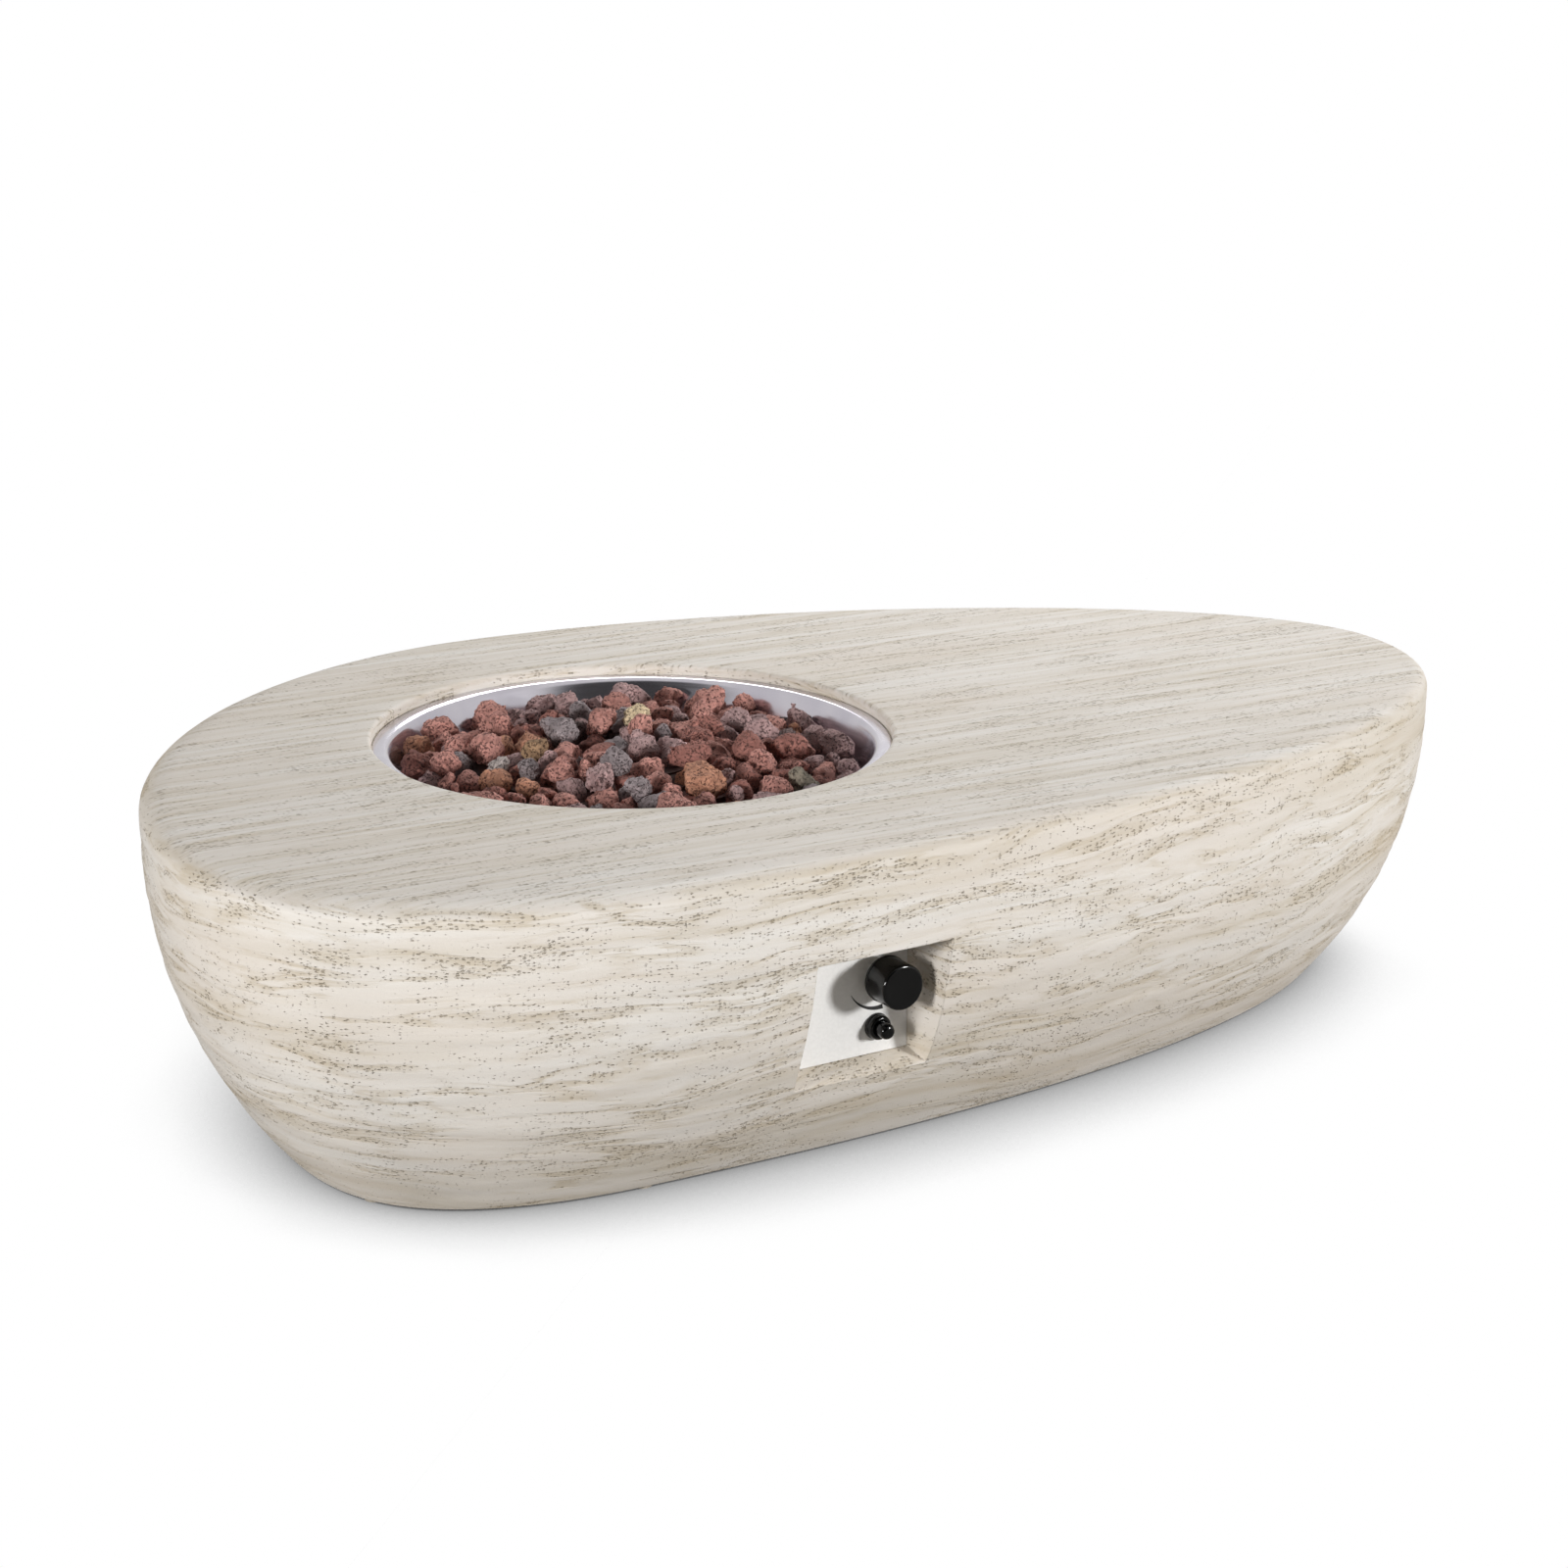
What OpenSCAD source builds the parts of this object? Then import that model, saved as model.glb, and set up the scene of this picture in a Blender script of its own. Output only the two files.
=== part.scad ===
// Gas fire pit table: a hollow cast-stone pebble with a round burner pan of lava stones
// and a gas valve and push igniter in a recess of its long side.
// Millimetres, Z up, origin on the floor under the middle of the body's box.
// The control side faces -Y and the narrow end points to +X.

/* [Body] */
// Length of the body from the blunt end to the tip
body_l = 1400; // [1250:10:1600]
// Width of the body
body_w = 870; // [800:10:1000]
// Height of the table top above the floor
body_h = 316; // [300:1:420]
// Thickness of the cast side wall
wall_t = 22; // [16:1:30]
// Thickness of the cast top
top_t = 26; // [22:1:40]
// Rounding of the top's outer edge
edge_r = 14; // [8:1:24]
// How far the side turns under at the floor
tuck_in = 105; // [60:1:112]
// Power of the side's curve: higher keeps the upper wall upright for longer
tuck_pow = 2.45; // [1.8:0.05:3.2]
// Thickness of the foot pads
foot_h = 3; // [2:0.5:8]
// Diameter of a foot pad
foot_d = 18; // [12:1:22]

/* [Outline] */
// Station of the widest point on the control side
front_x = -340; // [-400:5:-100]
// Station of the widest point on the back
back_x = -165; // [-300:5:0]
// Sideways place of the tip
tip_y = -25; // [-80:5:80]
// Sideways place of the blunt end
end_y = -125; // [-160:5:80]
// Fullness of the tip towards the back
tip_back = 0.45; // [0.4:0.01:0.6]
// Fullness of the back towards the tip
back_tip = 0.45; // [0.4:0.01:0.6]
// Fullness of the back towards the blunt end
back_end = 0.67; // [0.5:0.01:0.72]
// Fullness of the blunt end towards the back
end_back = 0.37; // [0.34:0.01:0.6]
// Fullness of the blunt end towards the front
end_front = 0.67; // [0.5:0.01:0.7]
// Fullness of the front towards the blunt end
front_end = 0.63; // [0.5:0.01:0.7]
// Fullness of the front towards the tip
front_tip = 0.65; // [0.5:0.01:0.7]
// Fullness of the tip towards the front
tip_front = 0.61; // [0.45:0.01:0.65]

/* [Fire bowl] */
// Diameter of the round hole in the top
bowl_d = 508; // [440:2:560]
// Station of the bowl's centre along the body
bowl_x = -177; // [-220:1:-120]
// Sideways place of the bowl's centre
bowl_y = 19; // [-20:1:40]
// Depth of the ledge that carries the pan, below the top
bowl_drop = 12; // [8:0.5:16]
// Width of the ledge under the pan's flange
ledge_w = 12; // [8:0.5:16]
// Rounding of the hole's upper edge
lip_r = 4; // [2:0.5:6]
// Sheet thickness of the pan
pan_t = 1.5; // [1:0.1:2]
// Gap around the pan's flange
pan_gap = 1.5; // [1:0.1:3]
// Width of the pan's flat flange
flange_w = 14.5; // [13:0.5:18]
// Depth of the pan from its flange to its floor
pan_depth = 88; // [80:1:110]
// Diameter of the pan's flat floor
floor_d = 400; // [380:2:410]
// Diameter of a weep hole in the pan's floor
weep_d = 8; // [5:1:12]

/* [Burner] */
// Radius of the burner ring, to the middle of its tube
ring_r = 130; // [110:1:140]
// Diameter of the ring's tube
tube_d = 20; // [16:1:22]
// Height of the ring above the pan's floor
ring_up = 24; // [20:1:26]
// Diameter of the two spokes
spoke_d = 16; // [12:1:18]
// Wall of the ring and spokes
tube_t = 1.2; // [0.8:0.1:1.6]
// Diameter of the hub
hub_d = 34; // [30:1:40]
// Diameter of the threaded nipple
nipple_d = 21; // [18:0.5:24]
// Diameter of a gas port
port_d = 3; // [2:0.5:4]
// Number of gas ports
port_n = 24; // [12:1:36]

/* [Lava stones] */
// Mean width of a stone
stone_d = 37.5; // [34:0.5:48]
// Mean height of a stone
stone_h = 36; // [30:1:44]
// Rise of the heap from its edge to its middle
heap_rise = 16; // [8:1:20]
// Height of the stones' bed above the pan's floor at its edge
bed_h = 54; // [53:1:60]

/* [Control recess] */
// Station of the recess along the body
rec_x = -153; // [-220:1:-60]
// Height of the recess's middle
rec_z = 155.5; // [150:0.5:165]
// Width of the recess at the surface
rec_w = 142; // [134:1:156]
// Height of the recess at the surface
rec_h = 131; // [127:1:137]
// Depth of the panel behind the surface, at the recess's middle
rec_depth = 48; // [46:0.5:54]
// Turn of the recess to follow the side
rec_turn = 3; // [0:0.5:5]
// Taper of each side wall of the recess
taper_u = 8; // [4:0.5:10]
// Taper of the upper and lower walls of the recess
taper_z = 12; // [8:0.5:13]
// Sheet thickness of the panel
plate_t = 1.5; // [1:0.1:2.5]
// How far the panel reaches behind the stone on each side
plate_lap = 18; // [16:0.5:24]
// Diameter of a panel screw
screw_d = 4; // [3:0.5:5]
// Sideways place of the knob and the igniter on the panel
ctl_x = 30; // [20:1:34]
// Height of the knob above the recess's middle
knob_up = 21.5; // [20:0.5:24]
// Depth of the igniter below the recess's middle
ign_down = 28.5; // [26:0.5:30]

/* [Valve and knob] */
// Diameter of the knob
knob_d = 43; // [38:1:46]
// Length of the knob
knob_l = 30; // [24:1:32]
// Gap from the panel to the knob's rear edge
knob_gap = 14; // [13:0.5:16]
// Rounding of the knob's front edge
knob_r = 2.5; // [1:0.5:4]
// How far the knob pushes in
knob_push = 6; // [3:0.5:6.5]
// Diameter of the stem
stem_d = 8; // [6:0.5:9]
// Diameter of the valve's bush
bush_d = 12; // [11:0.5:14]
// Width of the valve's body
valve_w = 38; // [32:1:42]
// Length of the valve's body
valve_l = 42; // [40:1:50]
// Diameter of the hose thread on the inlet
inlet_d = 15.8; // [14:0.1:18]
// Length of the hose thread on the inlet
inlet_l = 16; // [12:1:20]

/* [Igniter] */
// Diameter of the igniter's bezel
bezel_d = 25; // [24.6:0.1:27]
// Diameter of the igniter's barrel
barrel_d = 22; // [21:0.5:24]
// Length of the igniter's barrel behind the panel
barrel_l = 66; // [64:1:80]
// Diameter of the push button
button_d = 15; // [12:0.5:16]
// How far the button stands out from the panel
button_out = 22; // [18:0.5:26]
// How far the button pushes in
button_push = 4; // [2:0.5:4.5]
// Diameter of the battery
battery_d = 14.4; // [14:0.1:14.5]

/* [Back notch] */
// Station of the hose notch at the bottom of the back
notch_x = -60; // [-110:5:0]
// Width of the hose notch
notch_w = 50; // [30:1:80]
// Height of the hose notch above the wall's foot
notch_h = 36; // [30:1:60]

/* [Fits] */
// Radial play of a part that turns or slides
run_gap = 0.05; // [0.02:0.01:0.09]
// Radial play of a fixed part in its hole
fix_gap = 0.1; // [0.05:0.05:0.3]
// Play around soft or loose fillings
loose_gap = 0.3; // [0.2:0.05:0.5]

/* [Hidden] */
$fn = 64;

// Outline: four curves between the tip, the back, the blunt end and the front
nq = 22;
p_tip = [body_l / 2, tip_y];
p_back = [back_x, body_w / 2];
p_end = [-body_l / 2, end_y];
p_front = [front_x, -body_w / 2];
function bez(t, a, b, c, d) =
  pow(1 - t, 3) * a + 3 * t * pow(1 - t, 2) * b + 3 * t * t * (1 - t) * c + pow(t, 3) * d;
function quarter(a, b, c, d) = [for (i = [0:nq - 1]) bez(i / nq, a, b, c, d)];
front_curves = concat(
  quarter(p_end, p_end - [0, end_front * (p_end.y - p_front.y)],
    p_front - [front_end * (p_front.x - p_end.x), 0], p_front),
  quarter(p_front, p_front + [front_tip * (p_tip.x - p_front.x), 0],
    p_tip - [0, tip_front * (p_tip.y - p_front.y)], p_tip));
back_curves = concat(
  quarter(p_tip, p_tip + [0, tip_back * (p_back.y - p_tip.y)],
    p_back + [back_tip * (p_tip.x - p_back.x), 0], p_back),
  quarter(p_back, p_back - [back_end * (p_back.x - p_end.x), 0],
    p_end + [0, end_back * (p_back.y - p_end.y)], p_end));
outline = concat(back_curves, front_curves);
n_out = len(outline);
function unit(v) = v / norm(v);
outward = [for (i = [0:n_out - 1])
  let (t = outline[(i + 1) % n_out] - outline[(i + n_out - 1) % n_out]) unit([t.y, -t.x])];
function inset_pt(i, d) = outline[i] - outward[i] * d;

// Side of the body: how far it lies inside the outline at a height
z_edge = body_h - edge_r;
function side_in(z) = tuck_in * pow(max(0, (z_edge - z) / z_edge), tuck_pow);
function front_y(x, z) =
  lookup(x, [for (i = [2 * nq:4 * nq - 1]) let (p = inset_pt(i, side_in(z))) [p.x, p.y]]);
function back_y(x, z) =
  lookup(-x, [for (i = [0:2 * nq - 1]) let (p = inset_pt(i, side_in(z))) [-p.x, p.y]]);

// Heights of the bowl
ledge_z = body_h - bowl_drop;
floor_z = ledge_z + pan_t - pan_depth;
under_z = floor_z - pan_t;
flange_r = bowl_d / 2 - pan_gap;
rim_r = flange_r - flange_w;
floor_r = floor_d / 2;
function pan_r(z) = floor_r + (rim_r - floor_r) * (z - floor_z) / (ledge_z + pan_t - floor_z);
ring_z = floor_z + ring_up;
spark_y = -(ring_r + tube_d / 2 + 8);
spark_x = 12;
guard_w = 60;
guard_h = 48;
guard_in = 6;
guard_out = 22;
guard_t = 1.2;
tab_w = 14;
elbow_w = 22;
mixer_top = under_z - 16;
mixer_l = 50;
mixer_z = mixer_top - mixer_l;
elbow_z = mixer_z - elbow_w / 2;
elbow_port = 30;

// Places on the panel
panel_y = front_y(rec_x, rec_z) + rec_depth;
win_w = rec_w - 2 * taper_u;
win_h = rec_h - 2 * taper_z;
plate_w = win_w + 2 * plate_lap;
plate_h = win_h + 2 * plate_lap;
screw_u = win_w / 2 + plate_lap - 6.5;
screw_v = win_h / 2 + plate_lap - 8;
knob_z = rec_z + knob_up;
ign_z = rec_z - ign_down;
bush_out = knob_gap - knob_push - 1.5;
valve_y = plate_t + valve_l;
port_y = plate_t + valve_l / 2;
cav_y0 = plate_t + 14;
cav_y1 = plate_t + 35;
plunger_y = cav_y0 + 6;
outlet_y = valve_y + 4;
tube_y = outlet_y + 16;
thermo_u = 12;
bezel_out = 3.5;
battery_y = button_push + 5;

module at_bowl() {
  translate([bowl_x, bowl_y, 0]) children();
}

module at_panel() {
  translate([rec_x, panel_y, 0]) rotate([0, 0, rec_turn]) children();
}

module at_knob() {
  at_panel() translate([ctl_x, 0, knob_z]) children();
}

module at_igniter() {
  at_panel() translate([ctl_x, 0, ign_z]) children();
}

// A round bar along Y, from y0 to y1
module ybar(y0, y1, d) {
  translate([0, y0, 0]) rotate([-90, 0, 0]) cylinder(d = d, h = y1 - y0);
}

// A round bar along -X, from x0 to x1, with x1 the lower
module xbar(x0, x1, d) {
  translate([x0, 0, 0]) rotate([0, -90, 0]) cylinder(d = d, h = x0 - x1);
}

// A six-sided bar of width w across its flats
module hexbar(w, h) {
  cylinder(d = w / cos(30), h = h, $fn = 6);
}

// A closed body through rings of the outline, each ring an inset and a height
module loft(rings) {
  nr = len(rings);
  pts = [for (r = rings) for (i = [0:n_out - 1]) concat(inset_pt(i, r[0]), [r[1]])];
  sides = [for (k = [0:nr - 2]) for (i = [0:n_out - 1])
    let (j = (i + 1) % n_out, a = k * n_out, b = a + n_out)
    each [[a + i, b + i, b + j], [a + i, b + j, a + j]]];
  low = [for (i = [0:n_out - 1]) i];
  high = [for (i = [0:n_out - 1]) nr * n_out - 1 - i];
  polyhedron(pts, concat(sides, [low, high]), convexity = 4);
}

n_side = 11;
n_edge = 4;
outer_rings = concat(
  [for (k = [0:n_side]) let (z = foot_h + (z_edge - foot_h) * k / n_side) [side_in(z), z]],
  [for (k = [1:n_edge]) let (a = 90 * k / n_edge) [edge_r * (1 - cos(a)), z_edge + edge_r * sin(a)]]);
n_in = 7;
in_top = body_h - top_t;
inner_rings = concat(
  [[side_in(foot_h) + wall_t, foot_h - 5]],
  [for (k = [0:n_in]) let (z = foot_h + (in_top - foot_h) * k / n_in) [side_in(z) + wall_t, z]]);

// The tapered recess, from the panel's face out past the surface
module recess_cut() {
  zt = rec_z + rec_h / 2;
  zb = rec_z - rec_h / 2;
  k = 1.5;
  dt = k * (panel_y - front_y(rec_x, zt));
  db = k * (panel_y - front_y(rec_x, zb));
  u0 = win_w / 2;
  u1 = u0 + k * taper_u;
  v0 = win_h / 2;
  v1 = v0 + k * taper_z;
  pts = [[-u0, 1, rec_z - v0], [u0, 1, rec_z - v0], [u0, 1, rec_z + v0], [-u0, 1, rec_z + v0],
    [-u1, -db, rec_z - v1], [u1, -db, rec_z - v1], [u1, -dt, rec_z + v1], [-u1, -dt, rec_z + v1]];
  at_panel() polyhedron(pts, [[2, 3, 0], [1, 2, 0], [6, 5, 4], [7, 6, 4], [5, 1, 0], [4, 5, 0],
    [6, 2, 1], [5, 6, 1], [7, 3, 2], [6, 7, 2], [4, 0, 3], [7, 4, 3]]);
}

module table_shell() {
  notch_y = back_y(notch_x, foot_h);
  color("#d9d2c3") difference() {
    loft(outer_rings);
    difference() {
      loft(inner_rings);
      at_panel() translate([-plate_w / 2 - 6, -200, rec_z - plate_h / 2 - 6])
        cube([plate_w + 12, 200, plate_h + 12]);
    }
    at_bowl() translate([0, 0, ledge_z]) cylinder(d = bowl_d, h = body_h, $fn = 128);
    at_bowl() translate([0, 0, in_top - 5]) cylinder(r = bowl_d / 2 - ledge_w, h = body_h, $fn = 128);
    at_bowl() translate([0, 0, body_h - lip_r]) rotate_extrude($fn = 128) difference() {
      translate([bowl_d / 2 - 1, 0]) square([lip_r + 1, lip_r + 1]);
      translate([bowl_d / 2 + lip_r, 0]) circle(r = lip_r);
    }
    recess_cut();
    at_panel() translate([-plate_w / 2 - 1, 0, rec_z - plate_h / 2 - 1])
      cube([plate_w + 2, 60, plate_h + 2]);
    at_panel() for (u = [-screw_u, screw_u]) for (v = [-screw_v, screw_v])
      translate([u, 0, rec_z + v]) ybar(-14, 1, screw_d + 2 * run_gap);
    translate([notch_x - notch_w / 2, notch_y - wall_t - 30, foot_h - 5])
      cube([notch_w, wall_t + 100, notch_h + 5]);
  }
}

// Pads under the middle of the wall's foot, spread around the outline
module foot_pads() {
  color("#a09688") for (k = [0:5]) {
    i = round((k + 0.5) * n_out / 6);
    p = inset_pt(i, side_in(foot_h) + wall_t / 2);
    translate([p.x, p.y, 0]) cylinder(d = foot_d, h = foot_h);
  }
}

module burner_pan() {
  s = pan_t * 1.1;
  color("#c9c7cc") at_bowl() difference() {
    rotate_extrude($fn = 128) polygon([[0, under_z], [floor_r + 0.4, under_z],
      [rim_r + s, ledge_z], [flange_r, ledge_z], [flange_r, ledge_z + pan_t],
      [rim_r, ledge_z + pan_t], [floor_r, floor_z], [0, floor_z]]);
    translate([0, 0, under_z - 1]) cylinder(d = nipple_d + 2 * fix_gap, h = pan_t + 2);
    for (a = [0:60:300]) rotate([0, 0, a]) translate([floor_r - 25, 0, under_z - 1])
      cylinder(d = weep_d, h = pan_t + 2);
    translate([-spark_x, spark_y, under_z - 1]) cylinder(d = 8 + 2 * fix_gap, h = pan_t + 2);
    translate([spark_x, spark_y, under_z - 1]) cylinder(d = 6 + 2 * fix_gap, h = pan_t + 2);
    guard_holes(under_z - 1, pan_t + 2, screw_d + 2 * run_gap);
  }
}

// The ring, its two spokes and its hub, grown by g for the room that they need
module burner_form(g) {
  translate([0, 0, ring_z]) rotate([0, 0, 45]) rotate_extrude($fn = 96)
    translate([ring_r, 0]) circle(d = tube_d + 2 * g);
  translate([ring_r, 0, ring_z]) xbar(0, -2 * ring_r, spoke_d + 2 * g);
  translate([0, 0, floor_z]) cylinder(d = hub_d + 2 * g, h = ring_up + spoke_d / 2 + 4 + g);
}

module burner_ring() {
  color("#b4b2b0") at_bowl() difference() {
    burner_form(0);
    translate([0, 0, ring_z]) rotate([0, 0, 45]) rotate_extrude($fn = 96)
      translate([ring_r, 0]) circle(d = tube_d - 2 * tube_t);
    translate([ring_r, 0, ring_z]) xbar(-1, 1 - 2 * ring_r, spoke_d - 2 * tube_t);
    translate([0, 0, floor_z - 1]) cylinder(d = nipple_d + 2 * fix_gap, h = ring_up + spoke_d / 2 + 1);
    for (k = [0:port_n - 1]) rotate([0, 0, (k + 0.5) * 360 / port_n])
      translate([ring_r, 0, ring_z]) rotate([0, 0, 90]) cylinder(d = port_d, h = tube_d);
  }
}

module burner_nipple() {
  color("#8d8a86") at_bowl() difference() {
    translate([0, 0, under_z - 31]) cylinder(d = nipple_d, h = 31 + pan_t + ring_up - spoke_d / 2 - 1);
    translate([0, 0, under_z - 32]) cylinder(d = nipple_d - 5, h = 100);
  }
}

module nipple_nut() {
  color("#8d8a86") at_bowl() difference() {
    translate([0, 0, under_z - 10]) hexbar(nipple_d + 11, 10);
    translate([0, 0, under_z - 11]) cylinder(d = nipple_d + 2 * fix_gap, h = 12);
  }
}

module air_mixer() {
  color("#b08d4a") at_bowl() difference() {
    translate([0, 0, mixer_z]) cylinder(d = nipple_d + 7, h = mixer_l);
    translate([0, 0, mixer_top - 22]) cylinder(d = nipple_d + 2 * fix_gap, h = 23);
    translate([0, 0, mixer_z + 8]) cylinder(d = nipple_d - 5, h = mixer_l);
    translate([0, 0, mixer_z - 1]) cylinder(d = 12 + 2 * fix_gap, h = 12);
    translate([-20, -5, mixer_z + 12]) cube([40, 10, 12]);
  }
}

module jet_elbow() {
  w = elbow_w;
  color("#c2a05a") at_bowl() difference() {
    union() {
      translate([-w / 2, -w / 2, elbow_z - w / 2]) cube([w, w, w]);
      translate([0, 0, elbow_z]) cylinder(d = 12, h = w / 2 + 7);
      translate([0, 0, elbow_z]) ybar(-elbow_port, -w / 2 + 1, 16);
    }
    translate([0, 0, elbow_z]) ybar(-elbow_port - 1, 0, 8);
    translate([0, 0, elbow_z]) cylinder(d = 2, h = w);
  }
}

// A smooth round lead through points, with m steps between them
function spline(p, m) = let (n = len(p)) concat(
  [for (i = [0:n - 2]) for (k = [0:m - 1])
    let (a = p[max(i - 1, 0)], b = p[i], c = p[i + 1], d = p[min(i + 2, n - 1)], t = k / m)
    0.5 * (2 * b + t * (c - a) + t * t * (2 * a - 5 * b + 4 * c - d)
      + t * t * t * (3 * b - a - 3 * c + d))],
  [p[n - 1]]);

module lead(pts, m, d, sides, ref, dir0, dir1) {
  q = spline(pts, m);
  n = len(q);
  tan = [for (i = [0:n - 1]) i == 0 ? dir0 : i == n - 1 ? dir1 : unit(q[i + 1] - q[i - 1])];
  ring = [for (i = [0:n - 1]) let (u = unit(cross(tan[i], ref)), v = cross(tan[i], u))
    for (s = [0:sides - 1]) q[i] + (u * cos(360 * s / sides) + v * sin(360 * s / sides)) * d / 2];
  sidesf = [for (i = [0:n - 2]) for (s = [0:sides - 1])
    let (t = (s + 1) % sides, a = i * sides, b = a + sides)
    each [[a + s, b + s, b + t], [a + s, b + t, a + t]]];
  polyhedron(ring, concat(sidesf, [[for (s = [0:sides - 1]) s],
    [for (s = [0:sides - 1]) n * sides - 1 - s]]), convexity = 6);
}

// A point and a direction of the panel's frame, in the body's frame
function from_panel(p) = [rec_x + p.x * cos(rec_turn) - p.y * sin(rec_turn),
  panel_y + p.x * sin(rec_turn) + p.y * cos(rec_turn), p.z];
inward = [-sin(rec_turn), cos(rec_turn), 0];

tube_from = from_panel([ctl_x, tube_y, knob_z]);
tube_to = [bowl_x, bowl_y - elbow_port, elbow_z];
tube_route = [tube_from, tube_from + 20 * inward, [-140, -230, under_z - 46], [-165, -150, elbow_z + 11],
  tube_to - [0, 30, 0], tube_to];

module gas_tube() {
  color("#a9a7a4") lead(tube_route, 3, 12, 10, [0, 0, 1], inward, [0, 1, 0]);
}

module spark_ceramic() {
  color("#e8e4da") at_bowl() translate([-spark_x, spark_y, 0]) difference() {
    union() {
      translate([0, 0, floor_z - 26]) cylinder(d = 8, h = 58);
      translate([0, 0, floor_z]) cylinder(d = 13, h = 4);
    }
    translate([0, 0, floor_z - 20]) cylinder(d = 2.5 + 2 * fix_gap, h = 80);
  }
}

module spark_rod() {
  color("#77736e") at_bowl() translate([-spark_x, spark_y, floor_z - 20]) cylinder(d = 2.5, h = 60);
}

lead_from = from_panel([ctl_x, barrel_l + 6, ign_z]);
lead_to = [bowl_x - spark_x, bowl_y + spark_y, floor_z - 26];
lead_route = [lead_from, lead_from + 14 * inward, [-165, -235, ign_z - 5], [-190, -195, ign_z + 3],
  [-193, -150, under_z - 66], lead_to - [0, 0, 18], lead_to];

module spark_lead() {
  color("#8c2f26") lead(lead_route, 4, 3, 8, [1, 0, 0.2], inward, [0, 0, 1]);
}

module thermocouple() {
  color("#9b7b55") at_bowl() translate([spark_x, spark_y, 0]) {
    translate([0, 0, floor_z - 20]) cylinder(d = 6, h = 60);
    translate([0, 0, floor_z]) cylinder(d = 11, h = 3);
  }
}

thermo_from = from_panel([ctl_x + thermo_u, outlet_y + 2, knob_z - thermo_u]);
thermo_to = [bowl_x + spark_x, bowl_y + spark_y, floor_z - 20];
thermo_route = [thermo_from, thermo_from + 14 * inward, [-108, -250, under_z - 38],
  [-120, -200, under_z - 30], [-146, -155, under_z - 36], thermo_to - [0, 0, 14], thermo_to];

module thermocouple_lead() {
  color("#b0703c") lead(thermo_route, 4, 2.5, 8, [1, 0, 0.2], inward, [0, 0, 1]);
}

module guard_holes(z, h, d) {
  for (s = [-1, 1]) translate([s * (guard_w / 2 + tab_w / 2), spark_y - guard_out + 10, z])
    cylinder(d = d, h = h);
}

// Bent sheet hood over the spark rod and the thermocouple, open to the ring
module spark_guard() {
  g = guard_t;
  y0 = spark_y - guard_out;
  dy = guard_out + guard_in;
  color("#a5a3a0") at_bowl() difference() {
    union() {
      translate([-guard_w / 2, y0, floor_z]) cube([guard_w, dy, guard_h]);
      translate([-guard_w / 2 - tab_w, y0, floor_z]) cube([guard_w + 2 * tab_w, 20, g]);
    }
    translate([-guard_w / 2 + g, y0 + g, floor_z - 1]) cube([guard_w - 2 * g, dy, guard_h + 1 - g]);
    for (x = [-16, 0, 16]) translate([x - 3, y0 - 1, floor_z + 12]) cube([6, g + 2, guard_h - 24]);
    guard_holes(floor_z - 1, g + 2, screw_d + 2 * run_gap);
  }
}

module guard_screws() {
  color("#8d8a86") at_bowl() {
    guard_holes(floor_z - 5, 5 + guard_t + 0.5, screw_d);
    guard_holes(floor_z + guard_t, 2.6, screw_d * 2);
  }
}

// Bed and stones: rings of stones on flat steps of the bed
bed_z = floor_z + bed_h;
fill_r = pan_r(bed_z) - 2;
n_rings = floor((fill_r - stone_d / 2) / (stone_d * 1.075));
ring_step = (fill_r - stone_d / 2) / n_rings;
function step_z(k) = bed_z + heap_rise * (1 - pow(k / n_rings, 2));

// The stones below the top layer, as one filled body
module lava_bed() {
  steps = [for (k = [n_rings:-1:1]) each [[(k + 0.5) * ring_step, step_z(k)],
    [(k - 0.5) * ring_step, step_z(k)]]];
  rim = pan_r(bed_z) - loose_gap * 1.2;
  y0 = spark_y - guard_out - 1.5;
  color("#5d3b33") at_bowl() difference() {
    rotate_extrude($fn = 96) polygon(concat([[0, floor_z], [floor_r - loose_gap * 1.2, floor_z],
      [rim, bed_z]], [for (i = [1:len(steps) - 1]) steps[i]], [[ring_step / 2, step_z(0)], [0, step_z(0)]]));
    burner_form(1);
    translate([-guard_w / 2 - 1.5, y0, floor_z - 1])
      cube([guard_w + 3, guard_out + guard_in + 6, guard_h + 2.5]);
    translate([-guard_w / 2 - tab_w - 1.5, y0, floor_z - 1]) cube([guard_w + 2 * tab_w + 3, 24, 8]);
  }
}

// One stone: a stack of like outlines with a lean, flat below
module stone(seed, d, h) {
  n = 6;
  f = rands(0.88, 1.06, n, seed);
  c = rands(-1, 1, 4, seed + 500);
  lv = [[0, 0.8, 0], [0.36 + 0.06 * c[0], 1, 0], [0.76 + 0.05 * c[1], 0.86, 0.05], [1, 0.55, 0.1]];
  pts = [for (l = lv) for (i = [0:n - 1])
    [cos(360 * i / n) * f[i] * l[1] * d / 2 + c[2] * l[2] * d * 0.5,
     sin(360 * i / n) * f[i] * l[1] * d / 2 + c[3] * l[2] * d * 0.5, l[0] * h]];
  sides = [for (k = [0:2]) for (i = [0:n - 1]) let (j = (i + 1) % n, a = k * n, b = a + n)
    [a + i, b + i, b + j, a + j]];
  polyhedron(pts, concat(sides, [[for (i = [0:n - 1]) i], [for (i = [0:n - 1]) 4 * n - 1 - i]]));
}

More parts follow.
